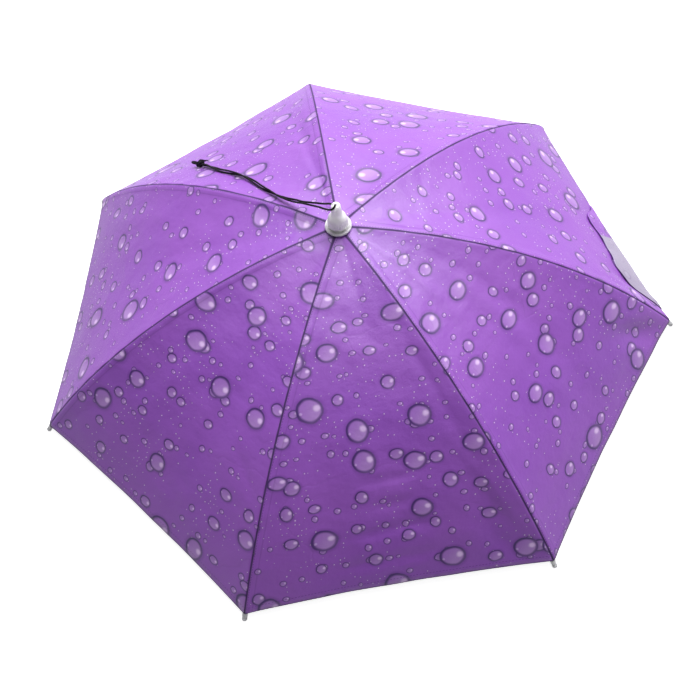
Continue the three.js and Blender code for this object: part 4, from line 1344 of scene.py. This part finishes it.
plate = turn_profile(in_mm(PLATE_SECTIONS), PLATE_SIDES)
stiffeners = []
for number in range(STIFFENERS):
    turn = (number + 0.5) * 2 * math.pi / STIFFENERS
    reach, height = STIFFENER_PLACE
    stiffeners.append(add_shape(
        bpy.ops.mesh.primitive_cube_add, size=1, rotation=(0, 0, turn), scale=STIFFENER_SIZE,
        location=(reach * math.cos(turn), reach * math.sin(turn), height)))
    bevel(stiffeners[-1], 0.15 * MM)
plate = join(plate, *stiffeners)
smooth(plate, 35)
finish_piece(plate, "crown_plate_disc", hub_plastic, ["crown_plate"])

# %% [markdown]
# Four straps of flexible plastic run from the plate over the head and down outside the head
# band. A strap is a flat strip along a quarter of an ellipse. A grid gives it enough rows to
# bend smoothly, Solidify its thickness, and two raised lines beside its edges and a rivet at
# the band stand for the way it is moulded and fixed.

# %% Crown straps
BAND_HALF_WIDTH, BAND_HALF_LENGTH, BAND_WALL = 78 * MM, 97.5 * MM, 2.5 * MM
BAND_DROP, BAND_HEIGHT = 53 * MM, 30 * MM
STRAP_WIDTH, STRAP_THICKNESS, STRAP_LIP, STRAP_ROWS = 22 * MM, 1.65 * MM, 0.35 * MM, 48
STRAP_START, STRAP_LOW, STRAP_BENT = 26.3 * MM, 0.5 * MM, 0.82
STRAP_END, STRAP_CURVE_END = -69 * MM, 4.2 * MM
STRAP_RIVET, STRAP_RIVET_SHARE, RIVET_FLATNESS = 3 * MM, 0.93, 0.3


def strap_place(reach, share):
    """Radius, height and outward direction of the strap's inner face at a share of its run."""
    width = reach + FIT_GAP - STRAP_START
    height = BAND_DROP - STRAP_CURVE_END + STRAP_LOW
    bend = min(1.0, share / STRAP_BENT) * math.pi / 2
    radius, z = STRAP_START + width * math.sin(bend), STRAP_LOW - height + height * math.cos(bend)
    out = Vector((height * math.sin(bend), 0, width * math.cos(bend))).normalized()
    if share > STRAP_BENT:
        z += (STRAP_END - z) * (share - STRAP_BENT) / (1 - STRAP_BENT)
    return radius, z, out


def make_strap(reach, turn, number):
    strap = add_grid(STRAP_ROWS, 14)
    around = Matrix.Rotation(turn, 3, "Z")
    for vertex in strap.data.vertices:
        share, side = vertex.co.x + 0.5, vertex.co.y * STRAP_WIDTH
        radius, z, out = strap_place(reach, share)
        lip = STRAP_LIP * rounded((abs(side) - 8.6 * MM) / (1.2 * MM))
        corner = 1 - 0.35 * max(0.0, (share - 0.96) / 0.04) ** 2
        vertex.co = around @ (Vector((radius, side * corner, z)) + out * (STRAP_THICKNESS + lip))
    apply_modifier(strap, "SOLIDIFY", thickness=STRAP_THICKNESS, offset=-1.0)
    bevel(strap, 0.3 * MM)
    radius, z, out = strap_place(reach, STRAP_RIVET_SHARE)
    rivet = add_shape(bpy.ops.mesh.primitive_uv_sphere_add, segments=24, ring_count=12,
                      radius=STRAP_RIVET)
    rivet.scale = (RIVET_FLATNESS, 1, 1)
    rivet.location = around @ Vector((radius + STRAP_THICKNESS, 0, z))
    rivet.rotation_euler = (0, 0, turn)
    strap = join(strap, settle(rivet))
    smooth(strap, 40)
    finish_piece(strap, f"strap_{number}", hub_plastic, [f"crown_strap_{number}"])


for number in range(1, 5):
    half = BAND_HALF_WIDTH if number % 2 else BAND_HALF_LENGTH
    make_strap(half + BAND_WALL, math.radians(90 * (number - 1)), number)

# %% [markdown]
# The head band is a wide elastic webbing. Its threads stand in narrow upright ridges, and a
# line of stitches runs along both edges. The ring is a circle resized into an ellipse and
# extruded upwards; its own map, in metres along the band and up it, guides the webbing.

# %% Webbing material
RIDGE_PITCH, ROW_PITCH, EDGE_STITCH = 1.6 * MM, 0.9 * MM, 3 * MM
WEBBING_DARK, WEBBING_LIGHT = (0.012, 0.011, 0.014, 1), (0.045, 0.043, 0.050, 1)
WEBBING_THREAD = (0.16, 0.15, 0.17, 1)


def build_webbing():
    material, n, shader = new_material("band_webbing", Roughness=0.75, Sheen_Weight=0.3)
    place = n.uv("band")
    axes = n.axes(place)
    ridge = n.calc("SINE", n.times(axes[0], 2 * math.pi / RIDGE_PITCH))
    row = n.calc("SINE", n.times(axes[1], 2 * math.pi / ROW_PITCH))
    knit = n.calc("MULTIPLY_ADD", row, 0.35, ridge)
    height = n.calc("MULTIPLY_ADD", n.noise(place, 900.0, 3.0), 0.8, knit)
    colour = n.mix(n.step(height, -0.6, 1.4), WEBBING_DARK, WEBBING_LIGHT)
    thread = n.calc("MAXIMUM", *[stitch_mask(n, axes[1], axes[0], level, 3.2 * MM, 0.45 * MM)
                                 for level in (EDGE_STITCH, BAND_HEIGHT - EDGE_STITCH)])
    surface(n, shader, n.mix(thread, colour, WEBBING_THREAD),
            n.calc("MULTIPLY_ADD", thread, 1.5, height), 0.7, 0.25 * MM)
    return material


band_webbing = build_webbing()

# %% Head band
BAND_SIDES, BAND_ROWS = 144, 12
BAND_MEAN_RADIUS = (BAND_HALF_WIDTH + BAND_HALF_LENGTH) / 2


def band_turn(point):
    return math.atan2(point.y / BAND_HALF_LENGTH, point.x / BAND_HALF_WIDTH)


band = add_shape(bpy.ops.mesh.primitive_circle_add, vertices=BAND_SIDES, radius=1)
edit_all(band, "EDGE")
bpy.ops.transform.resize(value=(BAND_HALF_WIDTH, BAND_HALF_LENGTH, 1), center_override=(0, 0, 0))
bpy.ops.transform.translate(value=(0, 0, -BAND_DROP - BAND_HEIGHT))
for row in range(BAND_ROWS):
    extrude_edges(BAND_HEIGHT / BAND_ROWS)
object_mode()
make_outward(band)
outward_faces = sum(face.normal.xy.dot(face.center.xy) > 0 for face in band.data.polygons)
print("band faces that point outwards:", outward_faces, "of", len(band.data.polygons))
apply_modifier(band, "SOLIDIFY", thickness=BAND_WALL, offset=1.0 if outward_faces else -1.0)
bevel(band, 0.6 * MM, segments=3)
band_map = band.data.uv_layers.new(name="band")
for polygon in band.data.polygons:
    middle = band_turn(polygon.center)
    for loop in polygon.loop_indices:
        co = band.data.vertices[band.data.loops[loop].vertex_index].co
        turn = band_turn(co)
        turn -= 2 * math.pi * round((turn - middle) / (2 * math.pi))
        band_map.data[loop].uv = (turn * BAND_MEAN_RADIUS, co.z + BAND_DROP + BAND_HEIGHT)
smooth(band, 40)
finish_piece(band, "head_band_webbing", band_webbing, ["head_band"])
